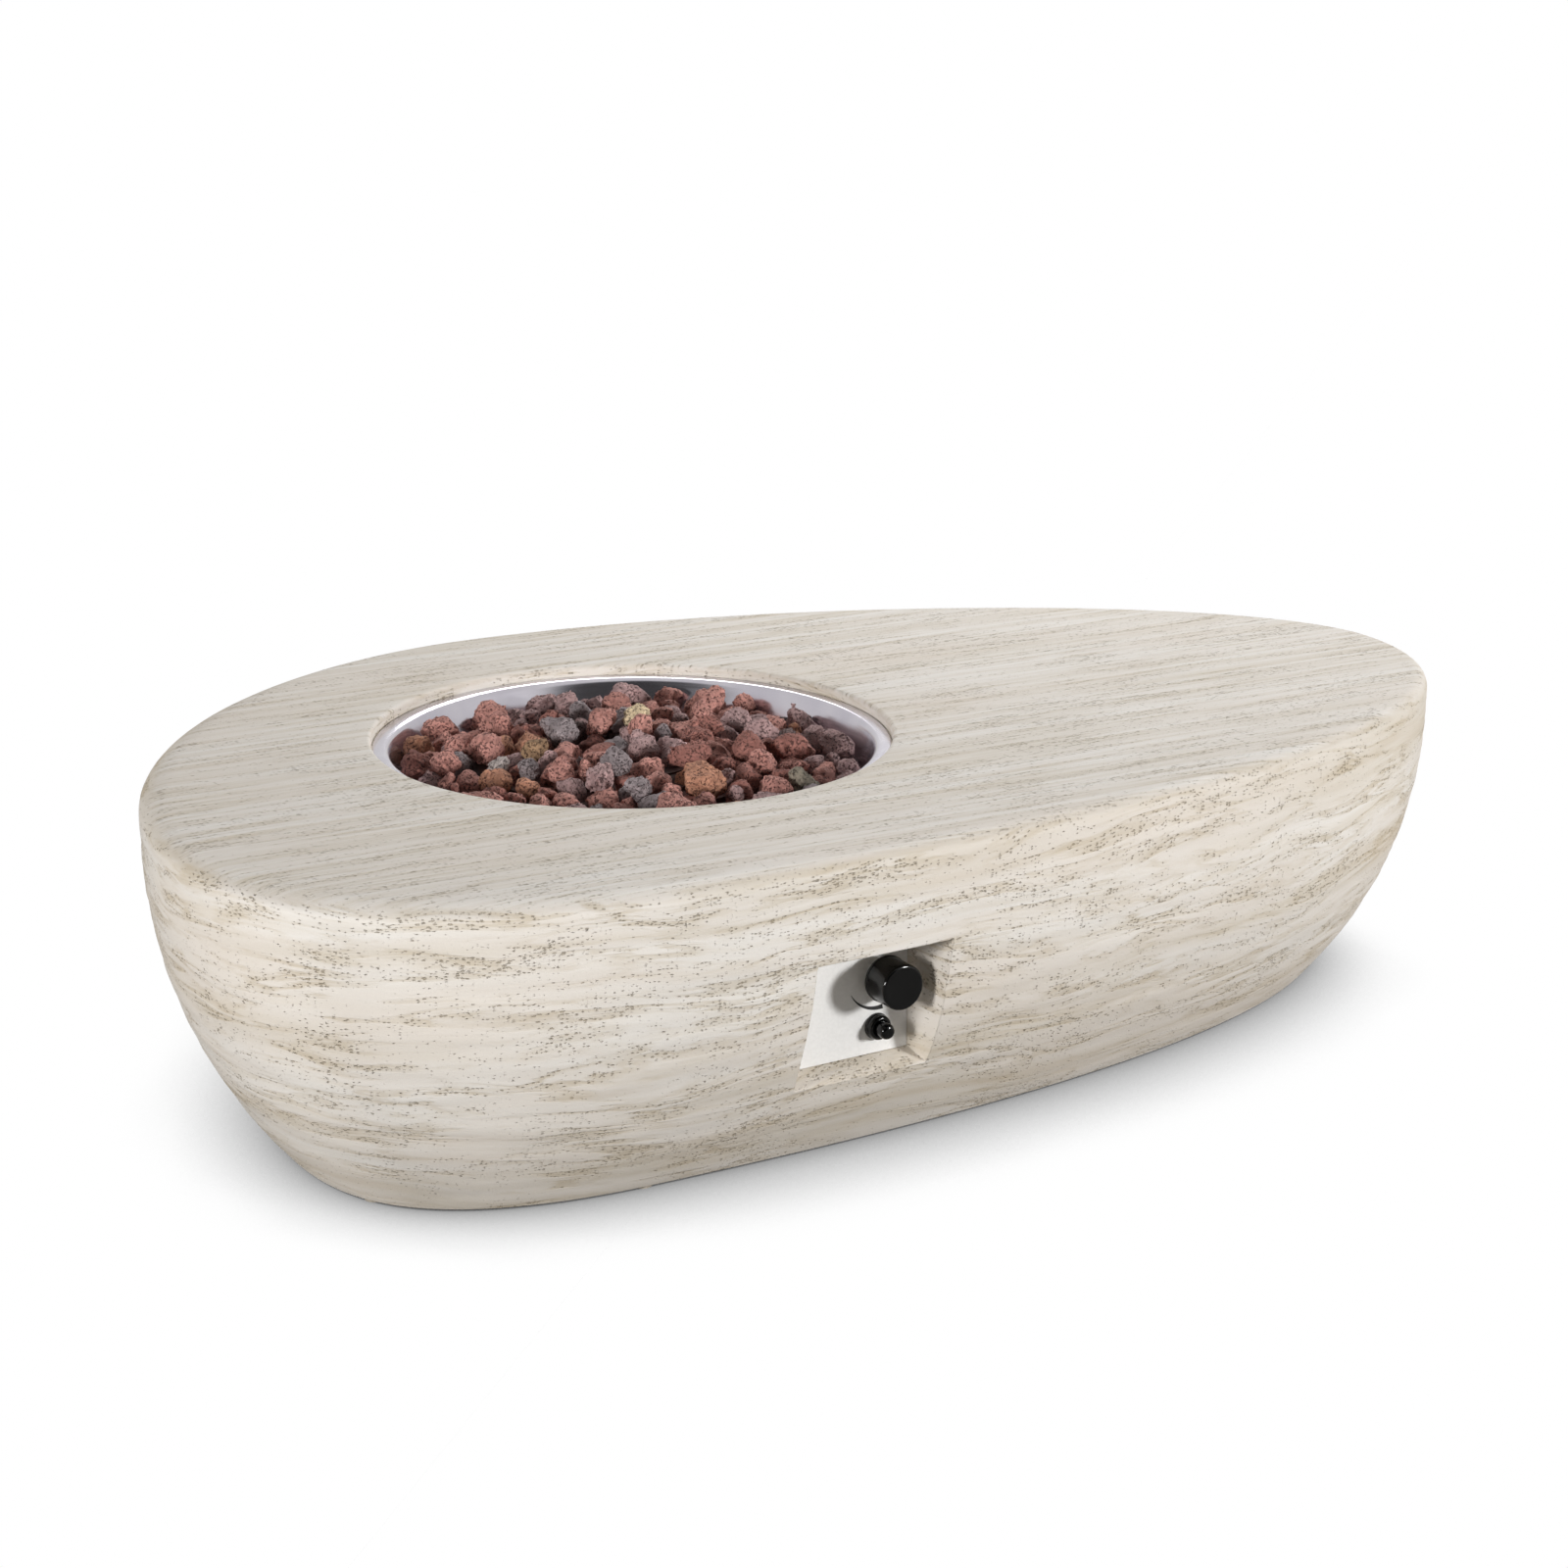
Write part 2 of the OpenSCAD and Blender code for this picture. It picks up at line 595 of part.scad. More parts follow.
module lava_stones() {
  color("#8a5146") at_bowl() for (k = [0:n_rings]) {
    r = k * ring_step;
    m = k == 0 ? 1 : floor(180 / asin(min(1, stone_d * 1.08 / 2 / r)));
    t = rands(0, 360, 1, 70 + k)[0];
    s = rands(0, 1, m, 40 + k);
    for (i = [0:m - 1]) rotate([0, 0, t + 360 * i / m]) translate([r, 0, step_z(k)])
      rotate([0, 0, 360 * s[i]])
        stone(100 * k + i, stone_d * (0.9 + 0.1 * s[i]), stone_h * (0.8 + 0.4 * s[(i + 1) % m]));
  }
}

module control_panel() {
  color("#f2f1ee") at_panel() difference() {
    translate([-plate_w / 2, 0, rec_z - plate_h / 2]) cube([plate_w, plate_t, plate_h]);
    translate([ctl_x, 0, knob_z]) ybar(-1, plate_t + 1, bush_d + 2 * fix_gap);
    translate([ctl_x, 0, ign_z]) ybar(-1, plate_t + 1, barrel_d + 2 * fix_gap);
    for (u = [-screw_u, screw_u]) for (v = [-screw_v, screw_v])
      translate([u, 0, rec_z + v]) ybar(-1, plate_t + 1, screw_d + 2 * fix_gap);
  }
}

module panel_screws() {
  color("#8d8a86") at_panel() for (u = [-screw_u, screw_u]) for (v = [-screw_v, screw_v])
    translate([u, 0, rec_z + v]) {
      ybar(-12, plate_t + 0.5, screw_d);
      ybar(plate_t, plate_t + 3, screw_d * 2);
    }
}

module valve_body() {
  w = valve_w;
  color("#b59a5b") at_knob() difference() {
    union() {
      ybar(-bush_out, plate_t + 1, bush_d);
      translate([-w / 2, plate_t, -w / 2]) cube([w, valve_l, w]);
      translate([0, port_y, 0]) xbar(-w / 2 + 1, -w / 2 - 8, 20);
      ybar(valve_y - 1, outlet_y, 18);
      translate([thermo_u, 0, -thermo_u]) ybar(valve_y - 1, outlet_y + 2, 10);
    }
    ybar(-bush_out - 1, cav_y0 + 1, stem_d + 2 * run_gap);
    ybar(cav_y0, cav_y1, stem_d + 6 + 2 * run_gap);
    ybar(cav_y1 - 1, outlet_y + 1, 10);
    translate([0, port_y, 0]) xbar(-stem_d / 2, -w / 2 - 9, 10);
  }
}

module valve_nut() {
  color("#9a9894") at_knob() difference() {
    translate([0, 0, 0]) rotate([90, 0, 0]) hexbar(bush_d + 5, bush_out - 1.5);
    ybar(-bush_out, 1, bush_d + 2 * fix_gap);
  }
}

module outlet_fitting() {
  color("#c2a05a") at_knob() difference() {
    union() {
      translate([0, outlet_y, 0]) rotate([-90, 0, 0]) hexbar(17, 8);
      ybar(outlet_y + 7, tube_y, 14);
      ybar(outlet_y - 6, outlet_y + 1, 10 - 2 * fix_gap);
    }
    ybar(outlet_y - 7, tube_y + 1, 6);
  }
}

module inlet_fitting() {
  x0 = -valve_w / 2 - 8;
  color("#c2a05a") at_knob() translate([0, port_y, 0]) difference() {
    union() {
      translate([x0, 0, 0]) rotate([0, -90, 0]) hexbar(inlet_d + 3, 8);
      xbar(x0 - 7, x0 - 8 - inlet_l, inlet_d);
      xbar(x0 + 7, x0 - 1, 10 - 2 * fix_gap);
    }
    xbar(x0 + 8, x0 - 9 - inlet_l, 6);
  }
}

module valve_plunger() {
  color("#d8d8d6") at_knob() ybar(plunger_y, plunger_y + 6, stem_d + 6);
}

module valve_stem() {
  out = knob_gap + knob_l - 8;
  color("#b9b7b3") at_knob() difference() {
    ybar(-out, plunger_y, stem_d);
    translate([-stem_d, -out - 1, stem_d / 2 - 1.2]) cube([2 * stem_d, out - knob_gap, 4]);
  }
}

// Knob: a cup with a hub on the stem and a rounded front edge
module control_knob() {
  r = knob_d / 2;
  f = knob_gap + knob_l;
  color("#141414") at_knob() rotate([90, 0, 0]) difference() {
    rotate_extrude($fn = 96) {
      translate([0, knob_gap]) square([r, knob_l - knob_r]);
      translate([0, knob_gap]) square([r - knob_r, knob_l]);
      translate([r - knob_r, f - knob_r]) circle(r = knob_r);
      translate([0, knob_gap]) square([r + 0.7, 3]);
    }
    translate([0, 0, knob_gap - 1]) difference() {
      cylinder(r = r - 2.5, h = knob_l - 7);
      cylinder(d = stem_d + 7, h = knob_l);
    }
    translate([0, 0, knob_gap - 1]) cylinder(d = stem_d + 2 * fix_gap, h = knob_l - 7);
  }
}

module igniter_housing() {
  color("#1b1b1b") at_igniter() difference() {
    union() {
      ybar(-bezel_out, 0, bezel_d);
      ybar(-1, barrel_l, barrel_d);
      ybar(barrel_l - 1, barrel_l + 6, 4);
    }
    ybar(-bezel_out - 1, battery_y - 1, button_d + 3);
    ybar(battery_y - 2, battery_y + 50, battery_d + 0.8);
  }
}

// Screw cap that holds the button
module igniter_cap() {
  r = bezel_d / 2 - 0.6;
  h = 5.5;
  color("#1b1b1b") at_igniter() rotate([90, 0, 0]) difference() {
    rotate_extrude() {
      translate([0, bezel_out]) square([r, h - 2.5]);
      translate([0, bezel_out]) square([r - 2.5, h]);
      translate([r - 2.5, bezel_out + h - 2.5]) circle(r = 2.5);
    }
    translate([0, 0, bezel_out - 1]) cylinder(d = button_d + 2 * run_gap, h = h + 2);
  }
}

module igniter_nut() {
  color("#242424") at_igniter() difference() {
    translate([0, plate_t, 0]) rotate([-90, 0, 0]) hexbar(barrel_d + 6, 6);
    ybar(0, plate_t + 7, barrel_d + 2 * fix_gap);
  }
}

// Push button with a rounded nose and a collar behind the cap
module igniter_button() {
  r = button_d / 2;
  e = 3;
  color("#101010") at_igniter() rotate([90, 0, 0]) rotate_extrude() {
    square([r, button_out - e]);
    square([r - e, button_out]);
    translate([r - e, button_out - e]) circle(r = e);
    translate([0, -1]) square([r + 1.2, bezel_out + 1 - loose_gap]);
  }
}

module igniter_battery() {
  color("#6f7a4a") at_igniter() {
    ybar(battery_y, battery_y + 50, battery_d);
    ybar(battery_y - 1, battery_y + 1, 5.4);
  }
}

table_shell();
foot_pads();
burner_pan();
burner_ring();
burner_nipple();
nipple_nut();
air_mixer();
jet_elbow();
gas_tube();
spark_ceramic();
spark_rod();
spark_lead();
thermocouple();
thermocouple_lead();
spark_guard();
guard_screws();
lava_bed();
lava_stones();
control_panel();
panel_screws();
valve_body();
valve_nut();
outlet_fitting();
inlet_fitting();
valve_plunger();
valve_stem();
control_knob();
igniter_housing();
igniter_cap();
igniter_nut();
igniter_button();
igniter_battery();
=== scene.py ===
# Gas fire pit table: a cast-stone pebble with a steel fire bowl full of lava stones and a
# gas knob and push igniter in a recess of its long side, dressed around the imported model.
import math

import bpy
import numpy as np
from mathutils import Matrix, Vector, noise


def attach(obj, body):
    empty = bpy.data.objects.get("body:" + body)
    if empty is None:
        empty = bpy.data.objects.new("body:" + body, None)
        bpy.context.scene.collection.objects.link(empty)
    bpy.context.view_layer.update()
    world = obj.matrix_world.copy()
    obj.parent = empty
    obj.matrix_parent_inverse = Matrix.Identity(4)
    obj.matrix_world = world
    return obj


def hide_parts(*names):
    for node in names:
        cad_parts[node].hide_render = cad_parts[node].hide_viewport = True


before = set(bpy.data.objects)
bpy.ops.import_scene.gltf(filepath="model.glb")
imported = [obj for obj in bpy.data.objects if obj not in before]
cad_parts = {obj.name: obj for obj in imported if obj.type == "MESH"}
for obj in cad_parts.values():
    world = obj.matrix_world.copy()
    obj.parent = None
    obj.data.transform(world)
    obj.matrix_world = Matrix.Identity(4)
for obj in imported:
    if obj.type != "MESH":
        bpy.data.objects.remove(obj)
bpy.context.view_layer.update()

MM = 0.001

# Stone body: one hollow casting of pale cement and marble dust, with a flat top, sides that
# turn under to the floor, a round hole for the fire bowl and a tapered recess for the controls.
# It is cast in a mould, and the streaks and pits of travertine are pressed and stained into it.
BODY_L, BODY_W, BODY_H = 1400, 870, 316
FOOT_Z, EDGE_R, TUCK, TUCK_POWER = 3, 14, 105, 2.45
WALL, TOP_T = 22, 26
EDGE_Z = BODY_H - EDGE_R
BOWL = Vector((-177, 19, 0))
BOWL_R, LEDGE_Z, LEDGE_W, LIP_R = 254, 304, 12, 4
PANEL_X, PANEL_Y, PANEL_TURN = -153, -364.605, math.radians(3)
WINDOW_W, WINDOW_H, WINDOW_Z = 126, 107, 155.5
PLATE_W, PLATE_H = 162, 143
TAPER_W, TAPER_H = 8, 12
RECESS_IN, RECESS_REACH, BOSS = 48, 1.5, 6
PLATE_GAP, POCKET = 1, 60
NOTCH_X, NOTCH_W, NOTCH_H, NOTCH_IN, NOTCH_OUT = -60, 50, 36, 35, 70
# the hole's lower edge, and how far cutters run below the foot and out past the side
HOLE_Z, BELOW, BEYOND = 280, 5, 200
# the top edge is rounded more widely round the blunt end, by up to BLUNT_MORE
BLUNT_X, BLUNT_RUN, BLUNT_MORE = -180, 330, 15
# strata stand out and fall back by about this much, in so many waves per metre
RELIEF, WAVES_ALONG, WAVES_ACROSS = 1.1, 6, 52
BODY_STEPS, BODY_ROWS, HOLLOW_STEPS, HOLLOW_ROWS = 150, 62, 33, 12


def outline(steps):
    """The body's plan, four curves from the tip round the back, and its outward directions."""
    tip, back = np.array((BODY_L / 2, -25)), np.array((-165, BODY_W / 2))
    end, front = np.array((-BODY_L / 2, -125)), np.array((-340, -BODY_W / 2))
    along, over = np.array((1, 0)), np.array((0, 1))
    t = (np.arange(steps) / steps)[:, None]
    quarters = []
    for a, b, c, d in (
        (tip, tip + over * 0.45 * (back - tip)[1], back + along * 0.45 * (tip - back)[0], back),
        (back, back - along * 0.67 * (back - end)[0], end + over * 0.37 * (back - end)[1], end),
        (end, end - over * 0.67 * (end - front)[1], front - along * 0.63 * (front - end)[0], front),
        (front, front + along * 0.65 * (tip - front)[0], tip - over * 0.61 * (tip - front)[1], tip),
    ):
        quarters.append((1 - t) ** 3 * a + 3 * t * (1 - t) ** 2 * b + 3 * t * t * (1 - t) * c + t ** 3 * d)
    plan = np.vstack(quarters)
    run = np.roll(plan, -1, 0) - np.roll(plan, 1, 0)
    out = np.stack((run[:, 1], -run[:, 0]), 1)
    return plan, out / np.linalg.norm(out, axis=1)[:, None]


def side_in(z):
    """How far the side lies inside the plan at a height."""
    return TUCK * max(0.0, (EDGE_Z - z) / EDGE_Z) ** TUCK_POWER


def rolled(name, rings):
    """A grid rolled into a tube through rings of points in mm, with its seam and ends closed."""
    rows, count = len(rings), len(rings[0])
    bpy.ops.object.select_all(action="DESELECT")
    bpy.ops.mesh.primitive_grid_add(x_subdivisions=count, y_subdivisions=rows - 1, size=1)
    piece = bpy.context.object
    piece.name = piece.data.name = name
    places = np.concatenate((rings, rings[:, :1]), 1) * MM
    piece.data.vertices.foreach_set("co", places.astype(np.float32).ravel())
    bpy.ops.object.mode_set(mode="EDIT")
    bpy.ops.mesh.select_all(action="SELECT")
    bpy.ops.mesh.remove_doubles(threshold=1e-6)
    bpy.ops.mesh.select_all(action="DESELECT")
    bpy.ops.mesh.select_non_manifold(extend=False)
    bpy.ops.mesh.fill_holes(sides=0)
    bpy.ops.mesh.select_all(action="SELECT")
    bpy.ops.mesh.normals_make_consistent(inside=False)
    bpy.ops.object.mode_set(mode="OBJECT")
    return piece


def pick(piece):
    """Makes a piece the active one, selected alone."""
    bpy.ops.object.select_all(action="DESELECT")
    piece.select_set(True)
    bpy.context.view_layer.objects.active = piece


def finish_with(piece, kind, **settings):
    """Adds a modifier with its settings and applies it."""
    pick(piece)
    change = piece.modifiers.new(kind.lower(), kind)
    for key, value in settings.items():
        setattr(change, key, value)
    bpy.ops.object.modifier_apply(modifier=change.name)


def cut(piece, tool):
    """Cuts the tool's shape out of the piece."""
    finish_with(piece, "BOOLEAN", object=tool, operation="DIFFERENCE", solver="EXACT")
    bpy.data.objects.remove(tool)


def block(matrix, low, high):
    """A box between two corners in mm, placed by a matrix that is in metres."""
    low, high = Vector(low) * MM, Vector(high) * MM
    bpy.ops.object.select_all(action="DESELECT")
    bpy.ops.mesh.primitive_cube_add(size=1)
    box = bpy.context.object
    box.data.transform(matrix @ Matrix.Translation((low + high) / 2) @ Matrix.Diagonal((*(high - low), 1)))
    return box


def smooth(piece, degrees):
    """Shades smooth across edges that are flatter than an angle."""
    pick(piece)
    bpy.ops.object.shade_smooth_by_angle(angle=math.radians(degrees))


PANEL = Matrix.Translation((PANEL_X * MM, PANEL_Y * MM, 0)) @ Matrix.Rotation(PANEL_TURN, 4, "Z")

plan, out = outline(BODY_STEPS)
seen_from_bowl = plan - np.array(BOWL[:2])
spoke = seen_from_bowl / np.linalg.norm(seen_from_bowl, axis=1)[:, None]
blunt = np.clip((BLUNT_X - plan[:, 0]) / BLUNT_RUN, 0, 1)
edge_wide = EDGE_R + BLUNT_MORE * blunt * blunt * (3 - 2 * blunt)
level = np.ones(len(plan))
rings = []
for radius, z in ((BOWL_R - LEDGE_W, HOLE_Z), (BOWL_R - LEDGE_W, LEDGE_Z), (BOWL_R, LEDGE_Z)):
    rings.append(np.column_stack((np.array(BOWL[:2]) + spoke * radius, level * z)))
for k in range(6):
    a = math.radians(18 * k)
    lip = np.array(BOWL[:2]) + spoke * (BOWL_R + LIP_R * (1 - math.cos(a)))
    rings.append(np.column_stack((lip, level * (BODY_H - LIP_R + LIP_R * math.sin(a)))))
top_in, top_out = rings[-1][:, :2], plan - out * edge_wide[:, None]
for t in np.linspace(0, 1, 14)[1:-1]:
    rings.append(np.column_stack((top_in + (top_out - top_in) * t, level * BODY_H)))
for k in range(9):
    a = math.radians(90 - 10 * k)
    inset = edge_wide * (1 - math.cos(a))
    rings.append(np.column_stack((plan - out * inset[:, None], level * (EDGE_Z + EDGE_R * math.sin(a)))))
for z in np.linspace(EDGE_Z, FOOT_Z, BODY_ROWS):
    # the strata's relief fades out at the top edge and at the foot
    fade = min(1, (EDGE_Z - z) / 25) * min(1, (z - FOOT_Z) / 15)
    inset = np.array([side_in(z) - fade * RELIEF * noise.fractal(
        Vector((x * WAVES_ALONG * MM, y * WAVES_ALONG * MM, z * WAVES_ACROSS * MM)), 0.8, 2.1, 3) for x, y in plan])
    rings.append(np.column_stack((plan - out * inset[:, None], level * z)))
stone_body = rolled("stone_body", np.array(rings))

inner_plan, inner_out = outline(HOLLOW_STEPS)
steps = [(side_in(FOOT_Z) + WALL, FOOT_Z - BELOW)]
steps += [(side_in(z) + WALL, z) for z in np.linspace(FOOT_Z, BODY_H - TOP_T, HOLLOW_ROWS)]
hollow = rolled("hollow", np.array([np.column_stack((inner_plan - inner_out * d, np.full(len(inner_plan), z)))
                                    for d, z in steps]))
boss_w, boss_h = PLATE_W / 2 + BOSS, PLATE_H / 2 + BOSS
cut(hollow, block(PANEL, (-boss_w, -BEYOND, WINDOW_Z - boss_h), (boss_w, 0, WINDOW_Z + boss_h)))
cut(stone_body, hollow)

# the recess's cutter is RECESS_REACH times as deep as the recess, with the same taper
low_in = side_in(WINDOW_Z - WINDOW_H / 2 - TAPER_H) - side_in(WINDOW_Z)
high_in = side_in(WINDOW_Z + WINDOW_H / 2 + TAPER_H) - side_in(WINDOW_Z)
recess = block(Matrix.Identity(4), (-1, -1, -1), (1, 1, 1))
for v in recess.data.vertices:
    u, far, w = v.co.x > 0, v.co.y < 0, v.co.z > 0
    half_w = WINDOW_W / 2 + (RECESS_REACH * TAPER_W if far else 0)
    half_h = WINDOW_H / 2 + (RECESS_REACH * TAPER_H if far else 0)
    depth = -RECESS_REACH * (RECESS_IN - (high_in if w else low_in)) if far else 1
    v.co = Vector((half_w if u else -half_w, depth, WINDOW_Z + (half_h if w else -half_h))) * MM
recess.data.transform(PANEL)
cut(stone_body, recess)
pocket_w, pocket_h = PLATE_W / 2 + PLATE_GAP, PLATE_H / 2 + PLATE_GAP
cut(stone_body, block(PANEL, (-pocket_w, 0, WINDOW_Z - pocket_h), (pocket_w, POCKET, WINDOW_Z + pocket_h)))
back_foot = BODY_W / 2 - side_in(FOOT_Z)
cut(stone_body, block(Matrix.Identity(4), (NOTCH_X - NOTCH_W / 2, back_foot - WALL - NOTCH_IN, FOOT_Z - BELOW),
                      (NOTCH_X + NOTCH_W / 2, back_foot + NOTCH_OUT, FOOT_Z + NOTCH_H)))
smooth(stone_body, 32)


def srgb(code):
    """A colour written as sRGB hex, in linear light."""
    parts = [int(code[i:i + 2], 16) / 255 for i in (1, 3, 5)]
    return tuple(c / 12.92 if c <= 0.04045 else ((c + 0.055) / 1.055) ** 2.4 for c in parts) + (1.0,)


def put(tree, kind, ins=None, stops=None, **settings):
    """Adds a node with its settings; ins takes values and other nodes' outputs, stops a ramp's colours."""
    node = tree.nodes.new(kind)
    for key, value in settings.items():
        setattr(node, key, value)
    for key, value in (ins or {}).items():
        if isinstance(value, bpy.types.NodeSocket):
            tree.links.new(value, node.inputs[key])
        else:
            node.inputs[key].default_value = value
    if stops:
        while len(node.color_ramp.elements) < len(stops):
            node.color_ramp.elements.new(0.5)
        for element, (place, colour) in zip(node.color_ramp.elements, stops):
            element.position, element.color = place, srgb(colour)
    return node


def calc(tree, operation, *values, clamp=False):
    """A sum of numbers and sockets."""
    node = put(tree, "ShaderNodeMath", dict(enumerate(values)), operation=operation, use_clamp=clamp)
    return node.outputs[0]


def ranged(tree, value, low, high, to_low=0, to_high=1, kind="LINEAR"):
    """A value moved from one range to another and held within it."""
    node = put(tree, "ShaderNodeMapRange", {"Value": value, "From Min": low, "From Max": high,
                                            "To Min": to_low, "To Max": to_high}, interpolation_type=kind)
    return node.outputs[0]


def blend(tree, share, under, over):
    """A share of one colour laid over another."""
    return put(tree, "ShaderNodeMix", {0: share, 6: under, 7: over}, data_type="RGBA").outputs[2]


def spots(tree, place, scale, detail, rough=0.5, twist=0):
    """Smooth noise from 0 to 1."""
    return put(tree, "ShaderNodeTexNoise", {"Vector": place, "Scale": scale, "Detail": detail,
                                            "Roughness": rough, "Distortion": twist}).outputs["Fac"]


def relief(tree, height, strength, depth, **more):
    """Fine relief over a depth in mm."""
    return put(tree, "ShaderNodeBump", {"Height": height, "Strength": strength,
                                        "Distance": depth * MM, **more}).outputs[0]


def wire(tree, shader, **sockets):
    """Links outputs to the shader's sockets of these names."""
    for key, value in sockets.items():
        tree.links.new(value, shader.inputs[key.replace("_", " ")])


def finish_named(name, **sockets):
    """A new material, its tree and its surface shader with these values on the shader's own sockets."""
    finish = bpy.data.materials.new(name)
    finish.use_nodes = True
    shader = finish.node_tree.nodes["Principled BSDF"]
    for key, value in sockets.items():
        shader.inputs[key.replace("_", " ")].default_value = value
    return finish, finish.node_tree, shader


def fit(piece, body, slot, finish, *nodes):
    """Gives a piece its finish, and lets it ride on a body in place of the named nodes."""
    piece.data.materials.clear()
    piece.data.materials.append(finish)
    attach(piece, body)
    if nodes:
        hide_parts(*nodes)


# Travertine-look cast stone: pale strata with a cream blush, soft tan streaks that break off,
# and pits of 1 to 5 mm crowded along them, darkened with painted shade. Sealed, so it has a soft low sheen.
STREAK_HALF, STREAK_STAIN = 0.085, 0.47
PIT_CROWD, PIT_RAG, PIT_GROW, PIT_STEEP, PIT_PAINTED_SHADE = 0.6, 0.45, 0.68, 3.4, 0.5
LAYER_RISE, STREAK_DROP, GRIT = 0.65, 0.25, 0.12
travertine, tree, shader = finish_named("travertine_cast_stone", IOR=1.5)


def strata(tree, place, wave, band, streak, gap, pit, depth):
    """Stone pattern in layers across Z: its colour with painted shade in the pits, its height and blush. Sizes are
    (along, across) in mm.
    """
    def stretched(along, across):
        """Places scaled to a size, on the layers as they are bent so far."""
        return put(tree, "ShaderNodeMapping", {
            "Vector": bent, "Scale": (1000 / along, 1000 / along, 1000 / across)}).outputs[0]

    bent = place
    for size, lift in wave:
        swell = spots(tree, stretched(*size), 1, 1)
        rise = calc(tree, "MULTIPLY_ADD", swell, lift * MM, -lift * MM / 2)
        up = put(tree, "ShaderNodeCombineXYZ", {"Z": rise})
        bent = put(tree, "ShaderNodeVectorMath", {0: bent, 1: up.outputs[0]}, operation="ADD").outputs[0]
    bands = spots(tree, stretched(*band), 1, 4, 0.55)
    blush = spots(tree, stretched(330, 85), 1, 2)
    line = spots(tree, stretched(*streak), 1, 5, 0.6, 0.5)
    broken = spots(tree, stretched(*gap), 1, 3, 0.6)
    cluster = spots(tree, stretched(110, 30), 1, 3, 0.6)
    grain = spots(tree, stretched(1.6, 1.1), 1, 1)
    spread = 0.12 / depth
    base = put(tree, "ShaderNodeValToRGB", {"Fac": bands}, stops=(
        (0.5 - 1.7 * spread, "#cec2b0"), (0.5 - 0.7 * spread, "#dad2c6"), (0.5, "#e1dad1"),
        (0.5 + 0.8 * spread, "#e6e1da"), (0.5 + 2 * spread, "#ded6ca"))).outputs[0]
    pale = blend(tree, ranged(tree, blush, 0.45, 0.7, 0, 0.6), base, srgb("#ded4c8"))
    # a streak is a soft stain where its noise crosses the middle, broken off along its run
    near = calc(tree, "ABSOLUTE", calc(tree, "SUBTRACT", line, 0.5))
    halo = ranged(tree, near, 0, STREAK_HALF, 1, 0, "SMOOTHSTEP")
    soft = calc(tree, "MULTIPLY", halo, ranged(tree, broken, 0.36, 0.62))
    stained = blend(tree, calc(tree, "MULTIPLY", soft, STREAK_STAIN * depth), pale, srgb("#b5a27f"))
    # a pit may lie in each cell of a fine scatter: often and large along the streaks, seldom and small elsewhere
    crowd = calc(tree, "MULTIPLY_ADD", soft, PIT_CROWD, ranged(tree, cluster, 0.34, 0.66, 0.26, 0.8), clamp=True)
    cells = stretched(*pit)
    rag = put(tree, "ShaderNodeTexNoise", {"Vector": cells, "Scale": 1.9, "Detail": 1}).outputs["Color"]
    ragged = put(tree, "ShaderNodeVectorMath", {0: rag, 1: (PIT_RAG, PIT_RAG, PIT_RAG), 2: cells},
                 operation="MULTIPLY_ADD")
    cell = put(tree, "ShaderNodeTexVoronoi", {"Vector": ragged.outputs[0], "Scale": 1})
    chance = put(tree, "ShaderNodeSeparateColor", {0: cell.outputs["Color"]}).outputs[0]
    reach = calc(tree, "MULTIPLY", calc(tree, "SUBTRACT", crowd, chance), PIT_GROW)
    inside = calc(tree, "SUBTRACT", reach, cell.outputs["Distance"])
    holes = calc(tree, "MULTIPLY", inside, PIT_STEEP, clamp=True)
    # painted shade: the pits are darkened towards olive-brown, as shade in the holes
    stain_and_pit_shade = blend(tree, calc(tree, "MULTIPLY", holes, PIT_PAINTED_SHADE), stained, srgb("#85724e"))
    # layers lie a little proud of one another, streaks lie a little low, and pits go in
    worn = calc(tree, "MULTIPLY_ADD", line, LAYER_RISE, calc(tree, "MULTIPLY", grain, GRIT))
    worn = calc(tree, "MULTIPLY_ADD", soft, -STREAK_DROP, worn)
    return stain_and_pit_shade, calc(tree, "SUBTRACT", worn, holes), blush


place = put(tree, "ShaderNodeTexCoord").outputs["Object"]
parts = put(tree, "ShaderNodeSeparateXYZ", {0: place}).outputs
# the top's grain runs straight along the body, so its layers are across Y
flat = put(tree, "ShaderNodeCombineXYZ", {"X": parts["X"], "Y": 3.1, "Z": parts["Y"]}).outputs[0]
side_colour, side_height, side_blush = strata(
    tree, place, wave=(((430, 170), 62), ((120, 80), 15)), band=(620, 38), streak=(170, 18),
    gap=(90, 22), pit=(4, 1.6), depth=1)
top_colour, top_height, _ = strata(
    tree, flat, wave=(((600, 200), 12), ((150, 60), 3)), band=(700, 13), streak=(380, 11),
    gap=(120, 14), pit=(5.4, 1.7), depth=0.75)
# the side's pattern gives way to the top's in the upper part of the rounded edge
on_top = ranged(tree, parts["Z"], (BODY_H - 5.5) * MM, (BODY_H - 1.2) * MM)
height = put(tree, "ShaderNodeMix", {0: on_top, 2: side_height, 3: top_height}).outputs[0]
worn_edge = put(tree, "ShaderNodeBevel", {"Radius": 2.2 * MM}, samples=4).outputs[0]
wire(tree, shader, Base_Color=blend(tree, on_top, side_colour, top_colour),
     Roughness=ranged(tree, side_blush, 0, 1, 0.6, 0.76),
     Normal=relief(tree, height, 0.9, 1.3, Normal=worn_edge))
fit(stone_body, "table", "cast_stone", travertine, "table_shell")

# Foot pads: six rubber discs glued under the foot of the wall.
# Pale grey moulded rubber, dull, with a faint mottled bloom.


def coat(finish, *names):
    """Gives CAD nodes a finish."""
    for name in names:
        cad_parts[name].data.materials.clear()
        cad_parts[name].data.materials.append(finish)


